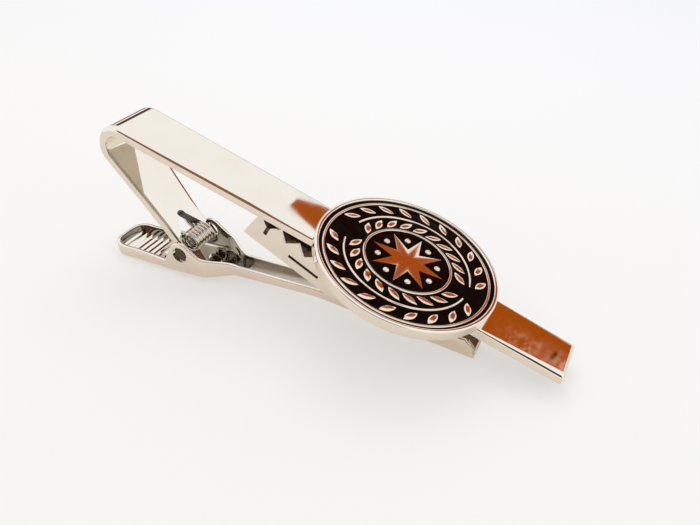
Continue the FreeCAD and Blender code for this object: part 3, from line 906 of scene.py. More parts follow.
@dataclass
class ClipLever:
    """Pressed lever: thumb pad, hinge lugs and channel arm, in millimetres from the hinge axis."""

    sheet: float = 0.45
    hinge_height: float = 2.7
    pad_reach: float = 11.1
    pad_half: float = 2.9
    pad_corner: float = 1.9
    pad_squareness: float = 2.2
    pad_rim: float = 1.45
    toe_rise: float = 0.2
    heel: float = 8.9
    rib_count: int = 8
    rib_first: float = 0.8
    rib_pitch: float = 0.85
    rib_width: float = 0.5
    rib_height: float = 0.2
    rib_crest: Pair = (0.07, 0.04)
    rib_sink: float = 0.05
    lug_half: float = 3.45
    lug_radius: float = 1.5
    lug_foot: float = 2.4
    lug_shoulder: float = 2.7
    hole_radius: float = 0.98
    hole_cut_half: float = 5.0
    flare_start: float = 7.0
    flare_end: float = 2.4
    arm_start: float = 6.4
    arm_half: float = 1.55
    arm_rise: float = 0.22
    arm_wall: float = 1.35
    arm_wall_end: float = 1.0
    arm_bend_at: float = 16.8
    arm_bend_angle: float = 8.5
    bend_softness: float = 1.6
    tip_length: float = 18.5
    tip_wall: float = 2.1
    tip_lip: float = 0.78
    tip_slant: float = 1.0
    tip_run: float = 2.0
    corner: float = 0.28
    inner_corner_gain: float = 0.12
    lug_corner: float = 0.7
    rim_rounding: float = 0.09
    rim_share: float = 0.3
    neck_end: float = 7.2
    shaded_from: float = 3.9
    wall_slack: float = 0.05
    floor_slack: float = 0.1
    wall_slope: float = 0.6
    fine_end: float = 8.0
    fine_step: float = 0.15
    arm_step: float = 0.6
    tip_step: float = 0.25
    sharp: float = 60.0

    @property
    def tip_end(self) -> float:
        """Reach of the arm's tip."""
        return self.arm_bend_at + self.tip_length

    def half_width(self, u: float) -> float:
        """Half of the lever's width.

        Args:
            u: Reach along the lever.

        Returns:
            The half width.
        """
        flare = min(1.0, max(0.0, (u + self.flare_start) / (self.flare_start - self.flare_end)))
        neck = smooth_step(self.lug_foot, self.arm_start, u)
        return mix(mix(self.pad_half, self.lug_half, flare), self.arm_half, neck)

    def bottom(self, u: float) -> float:
        """Height of the underside.

        Args:
            u: Reach along the lever.

        Returns:
            The height over the hinge axis.
        """
        rise = self.arm_rise * smooth_step(self.lug_foot, self.arm_start, u)
        past = u - self.arm_bend_at
        slope = math.tan(math.radians(self.arm_bend_angle))
        soft = self.bend_softness
        if past <= -soft:
            drop = 0.0
        elif past >= soft:
            drop = past * slope
        else:
            drop = slope * (past + soft) ** 2 / (4 * soft)
        return -self.hinge_height + rise - drop

    def touch(self, foot: Pair, side: float) -> Pair:
        """Point where a line from a foot touches a lug's round top."""
        angle = math.atan2(foot[1], foot[0]) + side * math.acos(self.lug_radius / math.hypot(*foot))
        return polar(self.lug_radius, angle)

    def wall_top(self, u: float) -> float:
        """Height of the wall's top.

        Args:
            u: Reach along the lever.

        Returns:
            The height over the hinge axis.
        """
        low = -self.hinge_height
        left, right = (-self.lug_foot, low + self.pad_rim), (self.lug_foot, low + self.lug_shoulder)
        first, last = self.touch(left, -1.0), self.touch(right, 1.0)
        arm = (self.arm_start, low + self.arm_rise + self.arm_wall)
        bend = (self.arm_bend_at, low + self.arm_rise + self.arm_wall_end)
        tip_at = self.tip_end - self.tip_slant
        tip = (tip_at, self.bottom(tip_at) + self.tip_wall)
        if first[0] < u < last[0]:
            return math.sqrt(self.lug_radius ** 2 - u * u)
        line = [(-self.pad_reach, left[1]), left, first, last, right, arm, bend, tip,
                (self.tip_end + 1.0, tip[1])]
        for start, end in zip(line, line[1:]):
            if start[0] <= u <= end[0]:
                return mix(start[1], end[1], (u - start[0]) / (end[0] - start[0]))
        return left[1]

    def corner_at(self, u: float) -> float:
        """Rounding of the underside's corner.

        Args:
            u: Reach along the lever.

        Returns:
            The radius.
        """
        flare = smooth_step(-self.flare_start, -self.flare_end, u)
        neck = smooth_step(self.lug_foot, self.arm_start, u)
        return mix(self.corner, self.lug_corner, flare - neck)

    def section(self, u: float) -> list[Pair]:
        """Half section, from the underside's middle round the wall to the floor's middle.

        Args:
            u: Reach along the lever.

        Returns:
            Its points, as (distance across, height).
        """
        half, low, top = self.half_width(u), self.bottom(u), self.wall_top(u)
        corner, rim = self.corner_at(u), self.rim_rounding
        inner = corner - self.sheet + self.inner_corner_gain
        floor = low + self.sheet
        wall = half - self.sheet
        ease = rim * self.rim_share
        points = [(0.0, low), ((half - corner) / 2, low)]
        for angle in spread(-QUARTER_TURN, 0.0, step=0.4):
            a, b = polar(corner, angle)
            points.append((half - corner + a, low + corner + b))
        points += [(half, mix(low + corner, top, 0.5)), (half, top - rim), (half - ease, top - ease),
                   (half - rim, top), (wall + rim, top), (wall + ease, top - ease), (wall, top - rim),
                   (wall, mix(floor + inner, top, 0.5))]
        for angle in spread(0.0, QUARTER_TURN, step=0.4):
            a, b = polar(inner, angle)
            points.append((wall - inner + a, floor + inner - b))
        return points + [((wall - inner) / 2, floor), (0.0, floor)]

    def lifted(self, u: float, y: float, v: float) -> Vector:
        """Row point of the lever, with the pad's toe turned up and the tip slanted.

        Args:
            u: Reach along the lever.
            y: Distance across it.
            v: Height over the hinge axis.

        Returns:
            The point in metres.
        """
        toe = max(0.0, (-self.heel - u) / (self.pad_reach - self.heel))
        over = v - self.bottom(u) - self.tip_lip
        slant = self.tip_slant * max(0.0, over) / (self.tip_wall - self.tip_lip)
        back = slant * smooth_step(self.tip_end - self.tip_run, self.tip_end, u)
        return LEVER_FRAME.point(u - back, y, v + self.toe_rise * toe)

    def round_end(self, centre: float, angle: float, q: float) -> Pair:
        """Place on the pad's end at an angle round it, at a distance from its middle line.

        Args:
            centre: Reach where the end's corners start.
            angle: Angle round the end, from 0 on the near side to pi on the far side.
            q: Distance from the middle line, in the section at the centre.

        Returns:
            Reach and distance across.
        """
        share = q / self.pad_half
        straight = self.pad_half - self.pad_corner
        cosine, sine = math.cos(angle), math.sin(angle)
        across = self.pad_corner * cosine + straight * max(-1.0, min(1.0, self.pad_squareness * cosine))
        return centre - share * self.pad_corner * sine, -share * across

    def reaches(self) -> list[float]:
        """Reaches of the sections, from the pad's round end to the tip.

        Returns:
            The reaches in order.
        """
        start, tip = self.pad_corner - self.pad_reach, self.tip_end - self.tip_run
        stops = spread(start, self.fine_end, self.fine_step) + spread(self.fine_end, tip, self.arm_step)[1:]
        return stops + spread(tip, self.tip_end, self.tip_step)[1:]

    def pressing(self) -> Draft:
        """The pressing without its lug holes.

        Returns:
            Its mesh.
        """
        reaches = self.reaches()
        centre = reaches[0]
        rows = [[self.lifted(u, -q, v) for q, v in self.section(u)] for u in reversed(reaches)]
        for angle in spread(0.0, math.pi, step=0.12)[1:-1]:
            rows.append([self.lifted(*self.round_end(centre, angle, q), v) for q, v in self.section(centre)])
        rows += [[self.lifted(u, q, v) for q, v in self.section(u)] for u in reaches]
        draft = Draft()
        draft.tube(rows, closed=False)
        return draft

    def ribs(self) -> Draft:
        """The grip ribs that lie across the pad's floor.

        Returns:
            Their mesh.
        """
        floor = self.sheet - self.hinge_height
        edge, height, sink = self.rib_width / 2, self.rib_height, -self.rib_sink
        crest, shoulder = self.rib_crest[0], height - self.rib_crest[1]
        ridge = ((-edge, sink), (-crest, shoulder), (0.0, height), (crest, shoulder), (edge, sink))
        turn = self.pad_corner - self.sheet
        draft = Draft()
        for index in range(self.rib_count):
            middle = self.rib_first - self.pad_reach + index * self.rib_pitch
            past = max(0.0, self.pad_corner - self.pad_reach - middle)
            straight = self.half_width(middle) - self.pad_corner
            across = straight + math.sqrt(max(0.0, turn * turn - past * past))
            draft.tube([[self.lifted(middle + u, y, floor + v) for u, v in ridge] for y in (-across, across)])
        return draft

    def hole_cutter(self) -> Object:
        """Closed cylinder of the two lug holes.

        Returns:
            The cylinder's object.
        """
        circle = [polar(self.hole_radius, angle) for angle in spread(0.0, FULL_TURN, step=0.1)[:-1]]
        draft = Draft()
        draft.tube([[LEVER_FRAME.point(a, y, b) for a, b in circle]
                    for y in (-self.hole_cut_half, self.hole_cut_half)])
        return draft.build("hole_cutter")

    def finish_at(self, face: MeshPolygon) -> int:
        """Finish of a face.

        Args:
            face: Face of the pressing.

        Returns:
            0 outside, 1 inside the arm's channel, with painted shade, 2 on the other walls' insides, with darker
            painted shade.
        """
        place = LEVER_FRAME.local(face.center)
        within = abs(place.y) < self.half_width(place.x) - self.sheet + self.wall_slack
        inside = within and place.z > self.bottom(place.x) + self.sheet - self.floor_slack
        if inside and place.x > self.neck_end:
            return 1
        on_wall = abs(face.normal.z) < self.wall_slope or place.x > self.shaded_from
        return 2 if inside and on_wall else 0

    def build(self, finishes: Sequence[Material]) -> None:
        """Make the lever and let it ride.

        Args:
            finishes: Finishes of the pressing, of the arm's inside with painted shade and of the lugs' inside with
                darker painted shade.
        """
        pressing = self.pressing().build("clip_lever_pressing", self.sharp)
        carve(pressing, self.hole_cutter(), self.sharp)
        even_shading(pressing)
        dress(pressing, finishes, self.finish_at)
        ribs = self.ribs().build("thumb_pad_ribs", self.sharp)
        dress(ribs, finishes[:1])
        for piece in (pressing, ribs):
            stand_for(piece, "clip_lever", Body.LEVER, Slot.NICKEL)


@dataclass
class ToothedJaw:
    """Toothed jaw: the CAD sheet with its cut edges rubbed round, in millimetres."""

    rounding: float = 0.06
    half: float = 2.9
    sheet: float = 0.4
    angle: float = 30.0
    root_reach: float = 23.0
    slit_low: float = 1.0
    slit_high: float = 1.4
    edge_angle: float = 30.0
    wall_slack: float = 0.05
    wall_slope: float = 0.5
    merge: float = 1e-6
    sharp: float = 10.0

    def height(self, place: Vector) -> float:
        """Height over the jaw's underside.

        Args:
            place: Place in the row frame, in metres.

        Returns:
            The height.
        """
        lever = ClipLever()
        spot = LEVER_FRAME.local(place)
        lean = math.radians(self.angle)
        over = spot.z - lever.bottom(self.root_reach) - lever.sheet
        return (spot.x - self.root_reach) * math.sin(lean) + over * math.cos(lean)

    def finish_at(self, face: MeshPolygon) -> int:
        """Finish of a face.

        Args:
            face: Face of the jaw.

        Returns:
            0 outside, 1 inside the channel, with painted shade, 2 inside the slit, with painted dark shade.
        """
        inward = -face.normal.y * math.copysign(1.0, face.center.y)
        between = abs(face.center.y) / MM < self.half - self.sheet - self.wall_slack
        in_slit = self.slit_low < self.height(face.center) < self.slit_high
        if in_slit and abs(face.normal.y) < self.wall_slope:
            return 2
        return int(inward > self.wall_slope or (between and face.normal.z > self.wall_slope))

    def build(self, finishes: Sequence[Material]) -> None:
        """Make the jaw and let it ride.

        Args:
            finishes: Finishes of its outside, of its inside with painted shade and of its slit with painted dark
                shade.
        """
        mesh = frame["nodes"]["toothed_jaw"].data.copy()
        piece = bpy.data.objects.new("toothed_jaw_sheet", mesh)
        bpy.context.scene.collection.objects.link(piece)
        work = bmesh.new()
        work.from_mesh(mesh)
        bmesh.ops.remove_doubles(work, verts=work.verts, dist=self.merge)
        bmesh.ops.dissolve_limit(work, angle_limit=0.01, verts=work.verts, edges=work.edges)
        work.to_mesh(mesh)
        work.free()
        tidy_mesh(mesh, self.sharp)
        edges = piece.modifiers.new("rubbed_edges", "BEVEL")
        edges.width = self.rounding * MM
        edges.segments = 2
        edges.limit_method = "ANGLE"
        edges.angle_limit = math.radians(self.edge_angle)
        even_shading(piece)
        dress(piece, finishes, self.finish_at)
        stand_for(piece, "toothed_jaw", Body.LEVER, Slot.NICKEL)


@dataclass
class TorsionSpring:
    """Close-wound wire with a leg behind the fork and a leg on the thumb pad, in millimetres."""

    wire: float = 0.5
    radius: float = 1.05
    length: float = 3.1
    whole_turns: int = 5
    rise: float = 0.9
    seat_gap: float = 0.06
    leg_start: float = 1.7
    leg_reach: float = 3.6
    leg_stops: tuple[float, ...] = (1.0, 0.6, 0.2)
    pad_reach: float = 4.35
    pad_height: float = -1.72
    pad_stops: tuple[float, ...] = (0.3, 0.65, 1.0)
    winding_share: float = 0.85
    sides: int = 16
    steps: int = 40
    sharp: float = 60.0

    def touch(self, centre: Vector, point: Vector, side: float) -> float:
        """Angle round the coil where a line from a point touches it."""
        away = point - centre
        return math.atan2(away.z, away.x) + side * math.acos(self.radius / math.hypot(away.x, away.z))

    def path(self) -> list[Vector]:
        """Middle line of the wire.

        Returns:
            Its points, in millimetres in the bar's frame.
        """
        bar = FrontBar()
        down = math.radians(bar.leg_angle)
        up_leg = Vector((-math.cos(down), 0.0, math.sin(down)))
        back = Vector((-math.sin(down), 0.0, -math.cos(down)))
        half = self.length / 2
        centre = HINGE_IN_BAR + Vector((0.0, 0.0, self.rise))
        behind = bar.thick / 2 + self.wire / 2 + self.seat_gap
        seat = HINGE_IN_BAR + up_leg * self.leg_start + back * behind
        to_bar = Placement(LEVER_FRAME.slope - BAR_FRAME.slope, Vector())
        rest = HINGE_IN_BAR + to_bar.direction(-self.pad_reach, 0.0, self.pad_height)
        start = self.touch(centre, seat, 1.0)
        sweep = (self.touch(centre, rest, -1.0) - start) % FULL_TURN + FULL_TURN * self.whole_turns
        count = int(self.steps * sweep / FULL_TURN)
        across = Vector((0.0, half, 0.0))
        points = [seat + across + up_leg * self.leg_reach * share for share in self.leg_stops]
        for index in range(count + 1):
            share = index / count
            a, b = polar(self.radius, start + sweep * share)
            points.append(centre + Vector((a, mix(half, -half, share), b)))
        last = points[-1]
        return points + [last.lerp(rest - across, share) for share in self.pad_stops]

    def ring(self, points: Sequence[Vector], index: int) -> list[Vector]:
        """Section of the wire at a point of its middle line.

        Args:
            points: The middle line.
            index: Which point.

        Returns:
            Points round the wire, in metres in the row frame.
        """
        run = (points[min(index + 1, len(points) - 1)] - points[max(index - 1, 0)]).normalized()
        side = run.cross(Vector((0.0, 1.0, 0.0))).normalized()
        over = side.cross(run)
        ring = []
        for step in range(self.sides):
            angle = FULL_TURN * step / self.sides
            off = (side * math.cos(angle) + over * math.sin(angle)) * (self.wire / 2)
            ring.append(BAR_FRAME.point(*(points[index] + off)))
        return ring

    def build(self, material: Material) -> None:
        """Make the wire and let it wind across the hinge.

        Args:
            material: Finish of the wire.
        """
        points = self.path()
        draft = Draft()
        draft.tube([self.ring(points, index) for index in range(len(points))])
        piece = draft.build("torsion_spring_wire", self.sharp)
        dress(piece, (material,))
        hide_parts("torsion_spring")
        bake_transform(piece)
        log.info("%s winds across the hinge with %d faces", piece.name, len(piece.data.polygons))


@dataclass
class Medallion:
    """Round tray with a struck disc and black enamel, in millimetres from the bar's top."""

    at: float = 36.9
    radius: float = 10.05
    rim: float = 0.5
    rim_top: float = 1.26
    rim_roundings: tuple[float, ...] = (0.0, 0.16, 0.2, 0.16, 0.05, 0.0)
    foot: float = 0.06
    floor: float = 0.41
    disc_foot: float = 0.46
    disc_top: float = 0.76
    disc_radius: float = 9.5
    enamel_top: float = 0.96
    enamel_edge: float = 0.01
    enamel_climb: float = 0.035
    enamel_climb_width: float = 0.12
    relief_top: float = 1.06
    border_radius: float = 9.2
    border_width: float = 0.3
    inner_radius: float = 4.9
    inner_width: float = 0.3
    ring_sink: float = 0.1
    ring_rounding: float = 0.11
    star_points: int = 8
    star_radius: float = 4.1
    star_waist: float = 1.7
    star_crown: float = 1.13
    star_rim_drop: float = 0.03
    wreath_radius: float = 6.9
    wreath_gap: float = 16.0
    leaf_count: int = 10
    leaf_length: float = 1.897
    leaf_width: float = 0.75
    leaf_splay: float = 38.0
    leaf_offset: float = 0.62
    leaf_crown: float = 1.07
    leaf_edge_drop: float = 0.06
    leaf_shoulder: float = 0.6
    stem_width: float = 0.26
    stem_sink: float = 0.05
    stem_height: float = 0.16
    stem_start: float = 7.0
    stem_end: float = 2.0
    pearl_radius: float = 0.36
    pearl_ring: float = 3.25
    pearl_sink: float = 0.06
    pearl_height: float = 0.26
    segments: int = 192

    def place(self, a: float, b: float, height: float) -> Vector:
        """Row point beside the medallion's axis."""
        return BAR_FRAME.point(self.at + a, b, height)

    def lathe(self, draft: Draft, profile: Sequence[Pair]) -> None:
        """Turn a profile about the medallion's axis.

        Args:
            draft: Mesh that it goes into.
            profile: Points as (radius, height).
        """
        rows = []
        for step in range(self.segments):
            angle = FULL_TURN * step / self.segments
            rows.append([self.place(*polar(radius, angle), height) for radius, height in profile])
        draft.grid(rows, looped=True)

    def tray(self) -> Draft:
        """Tray with a rounded rim.

        Returns:
            Its mesh.
        """
        outer, inner = self.radius, self.radius - self.rim
        corners = [(0.0, self.foot), (outer, self.foot), (outer, self.rim_top), (inner, self.rim_top),
                   (inner, self.floor), (0.0, self.floor)]
        draft = Draft()
        self.lathe(draft, rounded(corners, self.rim_roundings, steps=5))
        return draft

    def raised_ring(self, draft: Draft, outer: float, width: float) -> None:
        """Add a raised ring with a rounded top.

        Args:
            draft: Mesh that it goes into.
            outer: Outer radius.
            width: Width of the ring.
        """
        low, top, inner = self.disc_top - self.ring_sink, self.relief_top, outer - width
        corners = [(outer, low), (outer, top), (inner, top), (inner, low)]
        self.lathe(draft, rounded(corners, (0.0, self.ring_rounding, self.ring_rounding, 0.0), steps=4))

    def star(self, draft: Draft) -> None:
        """Add the star, with a ridge along each point.

        Args:
            draft: Mesh that it goes into.
        """
        rim, foot = [], []
        count = 2 * self.star_points
        for index in range(count):
            radius = self.star_radius if index % 2 == 0 else self.star_waist
            a, b = polar(radius, math.pi * index / self.star_points)
            rim.append(self.place(a, b, self.relief_top - self.star_rim_drop))
            foot.append(self.place(a, b, self.disc_top))
        edge = draft.grid([rim, foot], closed=True)[0]
        crown = len(draft.points)
        draft.points.append(self.place(0.0, 0.0, self.star_crown))
        draft.faces += [(edge[index], edge[(index + 1) % count], crown) for index in range(count)]

    def leaf(self, draft: Draft, turn: float, side: float, twin: float) -> None:
        """Add one leaf with a raised midrib.

        Args:
            draft: Mesh that it goes into.
            turn: Place round the wreath, in degrees.
            side: Side of the stem, -1 or 1.
            twin: 1, or -1 for the mirrored spray.
        """
        lean = math.radians(90.0 - side * self.leaf_splay)
        around = math.radians(turn)
        edge, top = self.relief_top - self.leaf_edge_drop, self.relief_top
        half = [(-1.0, self.disc_top), (-1.0, edge), (-self.leaf_shoulder, top)]
        profile = half + [(0.0, self.leaf_crown)] + [(-across, height) for across, height in reversed(half)]
        rows = []
        for along in spread(-1.0, 1.0, step=0.2):
            bow = self.leaf_width / 2 * (1.0 - along * along)
            row = []
            for across, height in profile:
                crest = mix(edge, height, 1.0 - along ** 4) if abs(across) < 1.0 else height
                x, y = along * self.leaf_length / 2, across * bow
                a = x * math.cos(lean) - y * math.sin(lean) + self.wreath_radius
                a += side * self.leaf_offset * self.leaf_length
                b = x * math.sin(lean) + y * math.cos(lean)
                row.append(self.place(a * math.cos(around) - b * math.sin(around),
                                      twin * (a * math.sin(around) + b * math.cos(around)), crest))
            rows.append(row)
        draft.grid(rows)

    def stem(self, draft: Draft, twin: float) -> None:
        """Add the half-round stem of one spray.

        Args:
            draft: Mesh that it goes into.
            twin: 1, or -1 for the mirrored spray.
        """
        rows = []
        start, end = self.wreath_gap - self.stem_start, 180.0 - self.wreath_gap + self.stem_end
        for turn in spread(start, end, step=2.0):
            row = []
            for angle in spread(0.0, math.pi, step=0.4):
                radius = self.wreath_radius + self.stem_width / 2 * math.cos(angle)
                a, b = polar(radius, math.radians(turn))
                height = self.enamel_top - self.stem_sink + self.stem_height * math.sin(angle)
                row.append(self.place(a, twin * b, height))
            rows.append(row)
        draft.grid(rows)

    def pearls(self, draft: Draft) -> None:
        """Add a small dome between each two points of the star.

        Args:
            draft: Mesh that they go into.
        """
        for index in range(self.star_points):
            a, b = polar(self.pearl_ring, math.pi * (2 * index + 1) / self.star_points)
            rows = []
            for tilt in spread(0.0, QUARTER_TURN, step=0.2):
                radius = self.pearl_radius * math.cos(tilt)
                height = self.enamel_top - self.pearl_sink + self.pearl_height * math.sin(tilt)
                rows.append([self.place(a + radius * math.cos(turn), b + radius * math.sin(turn), height)
                             for turn in spread(0.0, FULL_TURN, step=0.3)[:-1]])
            draft.grid(rows, closed=True)

    def relief(self) -> Draft:
        """Struck disc with its raised design.

        Returns:
            Its mesh.
        """
        draft = Draft()
        self.lathe(draft, [(0.0, self.disc_foot), (self.disc_radius, self.disc_foot),
                           (self.disc_radius, self.disc_top), (0.0, self.disc_top)])
        self.raised_ring(draft, self.border_radius, self.border_width)
        self.raised_ring(draft, self.inner_radius, self.inner_width)
        self.star(draft)
        self.pearls(draft)
        for twin in (-1.0, 1.0):
            self.stem(draft, twin)
            for index in range(self.leaf_count):
                turn = mix(self.wreath_gap, 180.0 - self.wreath_gap, index / (self.leaf_count - 1))
                for side in (-1.0, 1.0):
                    self.leaf(draft, turn, side, twin)
        return draft

    def enamel(self) -> Draft:
        """Poured enamel, drawn up a little where it meets a raised ring or the rim.

        Returns:
            Its mesh.
        """
        walls = (self.inner_radius - self.inner_width, self.inner_radius,
                 self.border_radius - self.border_width, self.border_radius, self.disc_radius)
        profile = []
        for radius in spread(0.0, self.disc_radius, step=0.12):
            near = min(abs(radius - wall) for wall in walls)
            climb = self.enamel_climb * math.exp(-near / self.enamel_climb_width)
            profile.append((radius, self.enamel_top + climb))
        profile.append((self.disc_radius, self.disc_top + self.enamel_edge))
        draft = Draft()
        self.lathe(draft, profile)
        return draft

    def build(self, nickel: Material, struck: Material,
              enamel: Material) -> None:
        """Make the tray, the disc and the enamel and let them ride.

        Args:
            nickel: Finish of the tray.
            struck: Finish of the disc.
            enamel: Finish of the enamel.
        """
        tray = self.tray().build("bezel_tray_turned", sharp=45.0)
        even_shading(tray)
        disc = self.relief().build("medallion_struck", sharp=12.0)
        pool = self.enamel().build("enamel_poured", sharp=60.0)
        for piece, node, slot, material in ((tray, "bezel_tray", Slot.NICKEL, nickel),
                                            (disc, "medallion", Slot.MEDAL, struck),
                                            (pool, "enamel_fill", Slot.ENAMEL, enamel)):
            dress(piece, (material,))
            stand_for(piece, node, Body.BAR, slot)


@dataclass
class Studio:
    """Floor, cards, lamp and camera, in millimetres."""

    floor_size: float = 1600.0
    floor_colour: Colour = (0.93, 0.92, 0.90)
    near_white: Colour = (1.005, 0.996, 0.965)
    far_white: Colour = (1.0, 1.02, 1.10)
    white_turn: Pair = (-0.03, 0.12)
    # Colour the floor shows only in reflections: painted reflection that warms the metal's sides.
    mirrored_floor: Colour = (0.80, 0.645, 0.505)
    floor_glow: float = 0.48
    sky_colour: Colour = (1.0, 0.99, 0.975)
    sky_strength: float = 0.84
    camera_focal_pixels: float = 708.37
    image_width_pixels: float = 700.0
    camera_place: Vector = Vector((43.875, -57.958, 45.789))
    camera_right: Vector = Vector((0.858201, 0.426776, 0.285224))
    camera_down: Vector = Vector((0.486546, -0.499225, -0.716971))
    camera_ahead: Vector = Vector((-0.163595, 0.754080, -0.636082))
    card_scale: float = 8.0
    card_start: float = 22.9
    card_end: float = 58.5
    card_half: float = 9.5
    card_slant: float = 2.6
    card_point_at: float = 0.45
    card_point_half: float = 0.9
    card_colour: Colour = (0.40, 0.078, 0.004)
    card_grain_colour: Colour = (0.80, 0.40, 0.28)
    grain_scale: float = 230.0
    grain_mask: Pair = (0.47, 0.60)
    grain_x: Pair = (0.135, 0.175)
    grain_y: Pair = (0.415, 0.392)
    low_card_colour: Colour = (0.30, 0.06, 0.006)
    hood_back: float = 40.0
    hood_foot: float = 40.0
    lamp_place: Vector = Vector((-40.0, 90.0, 190.0))
    lamp_size: float = 120.0
    lamp_radiance: float = 1.5

    def card(self, name: str, points: Sequence[Vector], colour: Colour, grain: Colour | None = None) -> None:
        """Add a flat card that shows in reflections alone.

        Args:
            name: Its name.
            points: Its outline, in metres in the row frame.
            colour: Its colour.
            grain: Colour of its streaks, if it has any.
        """
        piece = flat_piece(name, points)
        material = bpy.data.materials.new(name + "_paint")
        material.use_nodes = True
        material.node_tree.nodes.clear()
        sheet = Sheet(material.node_tree)
        spot = sheet.spot()
        axes = sheet.add("ShaderNodeSeparateXYZ", {0: spot}).outputs
        along, across = sheet.ramp(axes["X"], *self.grain_x), sheet.ramp(axes["Y"], *self.grain_y)
        side = sheet.math("MULTIPLY", along, across)
        clouds = sheet.noise(spot, self.grain_scale, detail=3.0, distortion=1.0)
        streaks = sheet.ramp(clouds, *self.grain_mask)
        shade = sheet.between(sheet.math("MULTIPLY", streaks, side), opaque(colour), opaque(grain or colour))
        light = sheet.add("ShaderNodeEmission", {"Color": shade})
        sheet.add("ShaderNodeOutputMaterial", {"Surface": light.outputs[0]})
        dress(piece, (material,))
        piece.visible_camera = False
        piece.visible_diffuse = False
        piece.visible_shadow = False
        piece.visible_transmission = False

    def mirrored(self, x: float, y: float, nearer: float = 0.0) -> Vector:
        """Place that the camera sees reflected in the bar's top.

        Args:
            x: Place along the bar.
            y: Place across it.
            nearer: How much nearer it is than the cards' distance.

        Returns:
            The place in metres in the row frame.
        """
        eye = Vector((self.camera_place.x, self.camera_place.y, -self.camera_place.z))
        spot = Vector((x, y, 0.0))
        return BAR_FRAME.point(*(eye + (spot - eye) * (self.card_scale - nearer)))

    def back_cards(self) -> None:
        """Brown cards behind the clip that tint the bar's end, its far bevel and the relief."""
        outline = []
        for y in spread(-self.card_half, self.card_half, step=0.25):
            past = abs(y - self.card_point_at) - self.card_point_half
            outline.append((self.card_start + self.card_slant * min(2.0, max(0.0, past)), y))
        outline += [(self.card_end, self.card_half), (self.card_end, -self.card_half)]
        self.card("brown_back_card", [self.mirrored(x, y) for x, y in outline], self.card_colour,
                  self.card_grain_colour)
        spot = ((54.05, -1.5), (54.3, -1.55), (54.6, -0.8), (54.75, 0.05), (54.45, 0.1), (54.2, -0.7))
        self.card("dark_spot_card", [self.mirrored(x, y, nearer=0.2) for x, y in spot], (0.012, 0.006, 0.003),
                  (0.02, 0.01, 0.005))
        left, right, low, high, back = 45.0, 140.0, 15.0, 170.0, 400.0
        corners = ((left, low), (right, low), (right, high), (left, high))
        outline = [BAR_FRAME.point(x, back, z) for x, z in corners]
        self.card("brown_low_back_card", outline, self.low_card_colour)

    def camera_hood(self) -> None:
        """Dark and brown hoods about the camera, which show in what faces it."""
        middle = self.camera_place - self.camera_ahead * self.hood_back
        foot = self.hood_foot
        for name, left, right, top, colour in (
                ("dark_camera_hood", -40.0, 45.0, -34.0, (0.05, 0.037, 0.03)),
                ("brown_camera_hood", -160.0, -40.0, -80.0, (0.28, 0.12, 0.065))):
            points = []
            for across, down in ((left, top), (right, top), (right, foot), (left, foot)):
                place = middle + self.camera_right * across + self.camera_down * down
                points.append(BAR_FRAME.point(*place))
            self.card(name, points, colour)

    def horizon_lines(self) -> None:
        """Low bands far behind the bend, which show as lines on it and on the bar's far edge."""
        feet = ((-377.0, 245.0), (-245.0, 377.0), (60.0, 450.0))
        left, middle, right = (Vector((x, y, 0.0)) for x, y in feet)
        for name, foot, low, high, colour in (
                ("grey_horizon_band", (left, middle), 2.0, 70.0, (0.12, 0.14, 0.19)),
                ("brown_horizon_band", (left, middle), 130.0, 250.0, (0.12, 0.045, 0.03)),
                ("pale_horizon_band", (middle, right), 40.0, 110.0, (0.42, 0.41, 0.38))):
            points = [place + Vector((0.0, 0.0, low)) for place in foot]
            points += [place + Vector((0.0, 0.0, high)) for place in reversed(foot)]
            self.card(name, [point * MM for point in points], colour)

    def seen_rays(self, sheet: Sheet) -> NodeSocket:
        """Which rays see the stage's white.

        Args:
            sheet: Sheet of the material or world.

        Returns:
            1 for rays of the camera, of reflections and through glass, 0 for the rest.
        """
        rays = sheet.add("ShaderNodeLightPath").outputs
        seen = sheet.math("MAXIMUM", rays["Is Camera Ray"], rays["Is Glossy Ray"])
        return sheet.math("MAXIMUM", seen, rays["Is Transmission Ray"])

    def floor(self) -> None:
        """Plain pale floor that keeps a light shadow."""
        half = self.floor_size / 2 * MM
        corners = ((-half, -half), (half, -half), (half, half), (-half, half))
        piece = flat_piece("floor", [Vector((x, y, 0.0)) for x, y in corners])
        material, sheet, shader = blank_material("floor_paper")
        sheet.feed(shader, {"Base Color": opaque(self.floor_colour), "Roughness": 0.9,
                            "Specular IOR Level": 0.1})
        along = sheet.add("ShaderNodeSeparateXYZ", {0: sheet.spot()}).outputs["Y"]
        shade = sheet.between(sheet.ramp(along, *self.white_turn), opaque(self.near_white),
                              opaque(self.far_white))
        # Painted reflection: reflections see the floor in a warm brown tint, while the camera sees it white.
        glossy = sheet.add("ShaderNodeLightPath").outputs["Is Glossy Ray"]
        tint = sheet.between(glossy, shade, opaque(self.mirrored_floor))
        glow = sheet.add("ShaderNodeEmission", {"Color": tint})
        share = sheet.math("MULTIPLY", self.seen_rays(sheet), self.floor_glow)
        parts = {"Fac": share, 1: shader.outputs["BSDF"], 2: glow.outputs[0]}
        blend = sheet.add("ShaderNodeMixShader", parts)
        out = next(node for node in sheet.tree.nodes if node.type == "OUTPUT_MATERIAL")
        sheet.feed(out, {"Surface": blend.outputs[0]})
        dress(piece, (material,))

    def sky(self) -> None:
        """Even pale surroundings, white where they are seen or mirrored."""
        world = bpy.data.worlds.new("studio")
        bpy.context.scene.world = world
        world.use_nodes = True
        sheet = Sheet(world.node_tree)
        back = next(node for node in world.node_tree.nodes if node.type == "BACKGROUND")
        strength = sheet.mapped(self.seen_rays(sheet), self.sky_strength, 1.0)
        sheet.feed(back, {"Color": opaque(self.sky_colour), "Strength": strength})

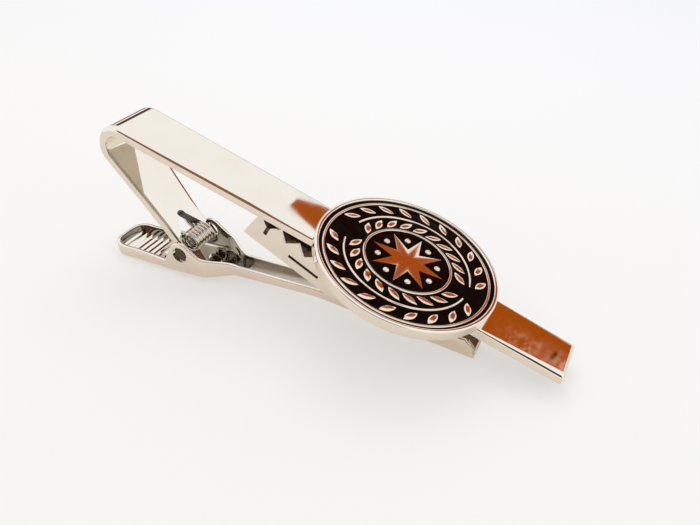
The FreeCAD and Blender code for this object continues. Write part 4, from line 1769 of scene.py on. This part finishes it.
    def lamp(self) -> None:
        """Soft square lamp behind the clip, which faces it."""
        size = self.lamp_size * MM
        data = bpy.data.lights.new("back_softbox", "AREA")
        data.size = size
        data.energy = math.pi * self.lamp_radiance * size ** 2
        lamp = bpy.data.objects.new("back_softbox", data)
        bpy.context.scene.collection.objects.link(lamp)
        lamp.location = self.lamp_place * MM
        lamp.rotation_euler = (-self.lamp_place).to_track_quat("-Z", "Y").to_euler()
        lamp.visible_glossy = False

    def camera(self) -> None:
        """Camera at the photo's view."""
        data = bpy.data.cameras.new("photo_view")
        data.sensor_width = 36.0
        data.lens = self.camera_focal_pixels / self.image_width_pixels * data.sensor_width
        data.clip_start = 0.001
        view = bpy.data.objects.new("photo_view", data)
        bpy.context.scene.collection.objects.link(view)
        right = BAR_FRAME.direction(*self.camera_right)
        up = -BAR_FRAME.direction(*self.camera_down)
        back = -BAR_FRAME.direction(*self.camera_ahead)
        turn = Matrix((right, up, back)).transposed().to_4x4()
        view.matrix_world = Matrix.Translation(BAR_FRAME.point(*self.camera_place)) @ turn
        bpy.context.scene.camera = view

    def build(self) -> None:
        """Set the whole stage."""
        self.floor()
        self.sky()
        self.back_cards()
        self.camera_hood()
        self.horizon_lines()
        self.lamp()
        self.camera()
        bpy.context.scene.view_settings.view_transform = "Standard"


def main() -> None:
    """Build the clip's pieces in order, then the stage."""
    logging.basicConfig(level=logging.INFO, format="%(name)s: %(message)s")
    effects = Effects()
    nickel = NICKEL.material(effects)
    # inner, shaded and dark are darker copies of the nickel that paint shade into insides, undersides, the slot,
    # the slit and the lug holes.
    inner = INNER_SHADE_NICKEL.material(effects)
    shaded = SHADED_NICKEL.material(effects)
    dark = DARK_SHADE_NICKEL.material(effects)
    FrontBar().build((nickel, inner, dark))
    ClipLever().build((nickel, inner, shaded))
    ToothedJaw().build((nickel, shaded, dark))
    TorsionSpring().build(SPRING_STEEL.material(effects))
    Medallion().build(nickel, MEDAL_NICKEL.material(effects), BLACK_ENAMEL.material(effects))
    for node, finish in (("tray_solder", SOFT_SOLDER), ("medallion_glue", CLEAR_GLUE)):
        dress(frame["nodes"][node], (finish.material(effects),))
        log.info("%s keeps its CAD solid", node)
    Studio().build()


if __name__ == "__main__":
    main()
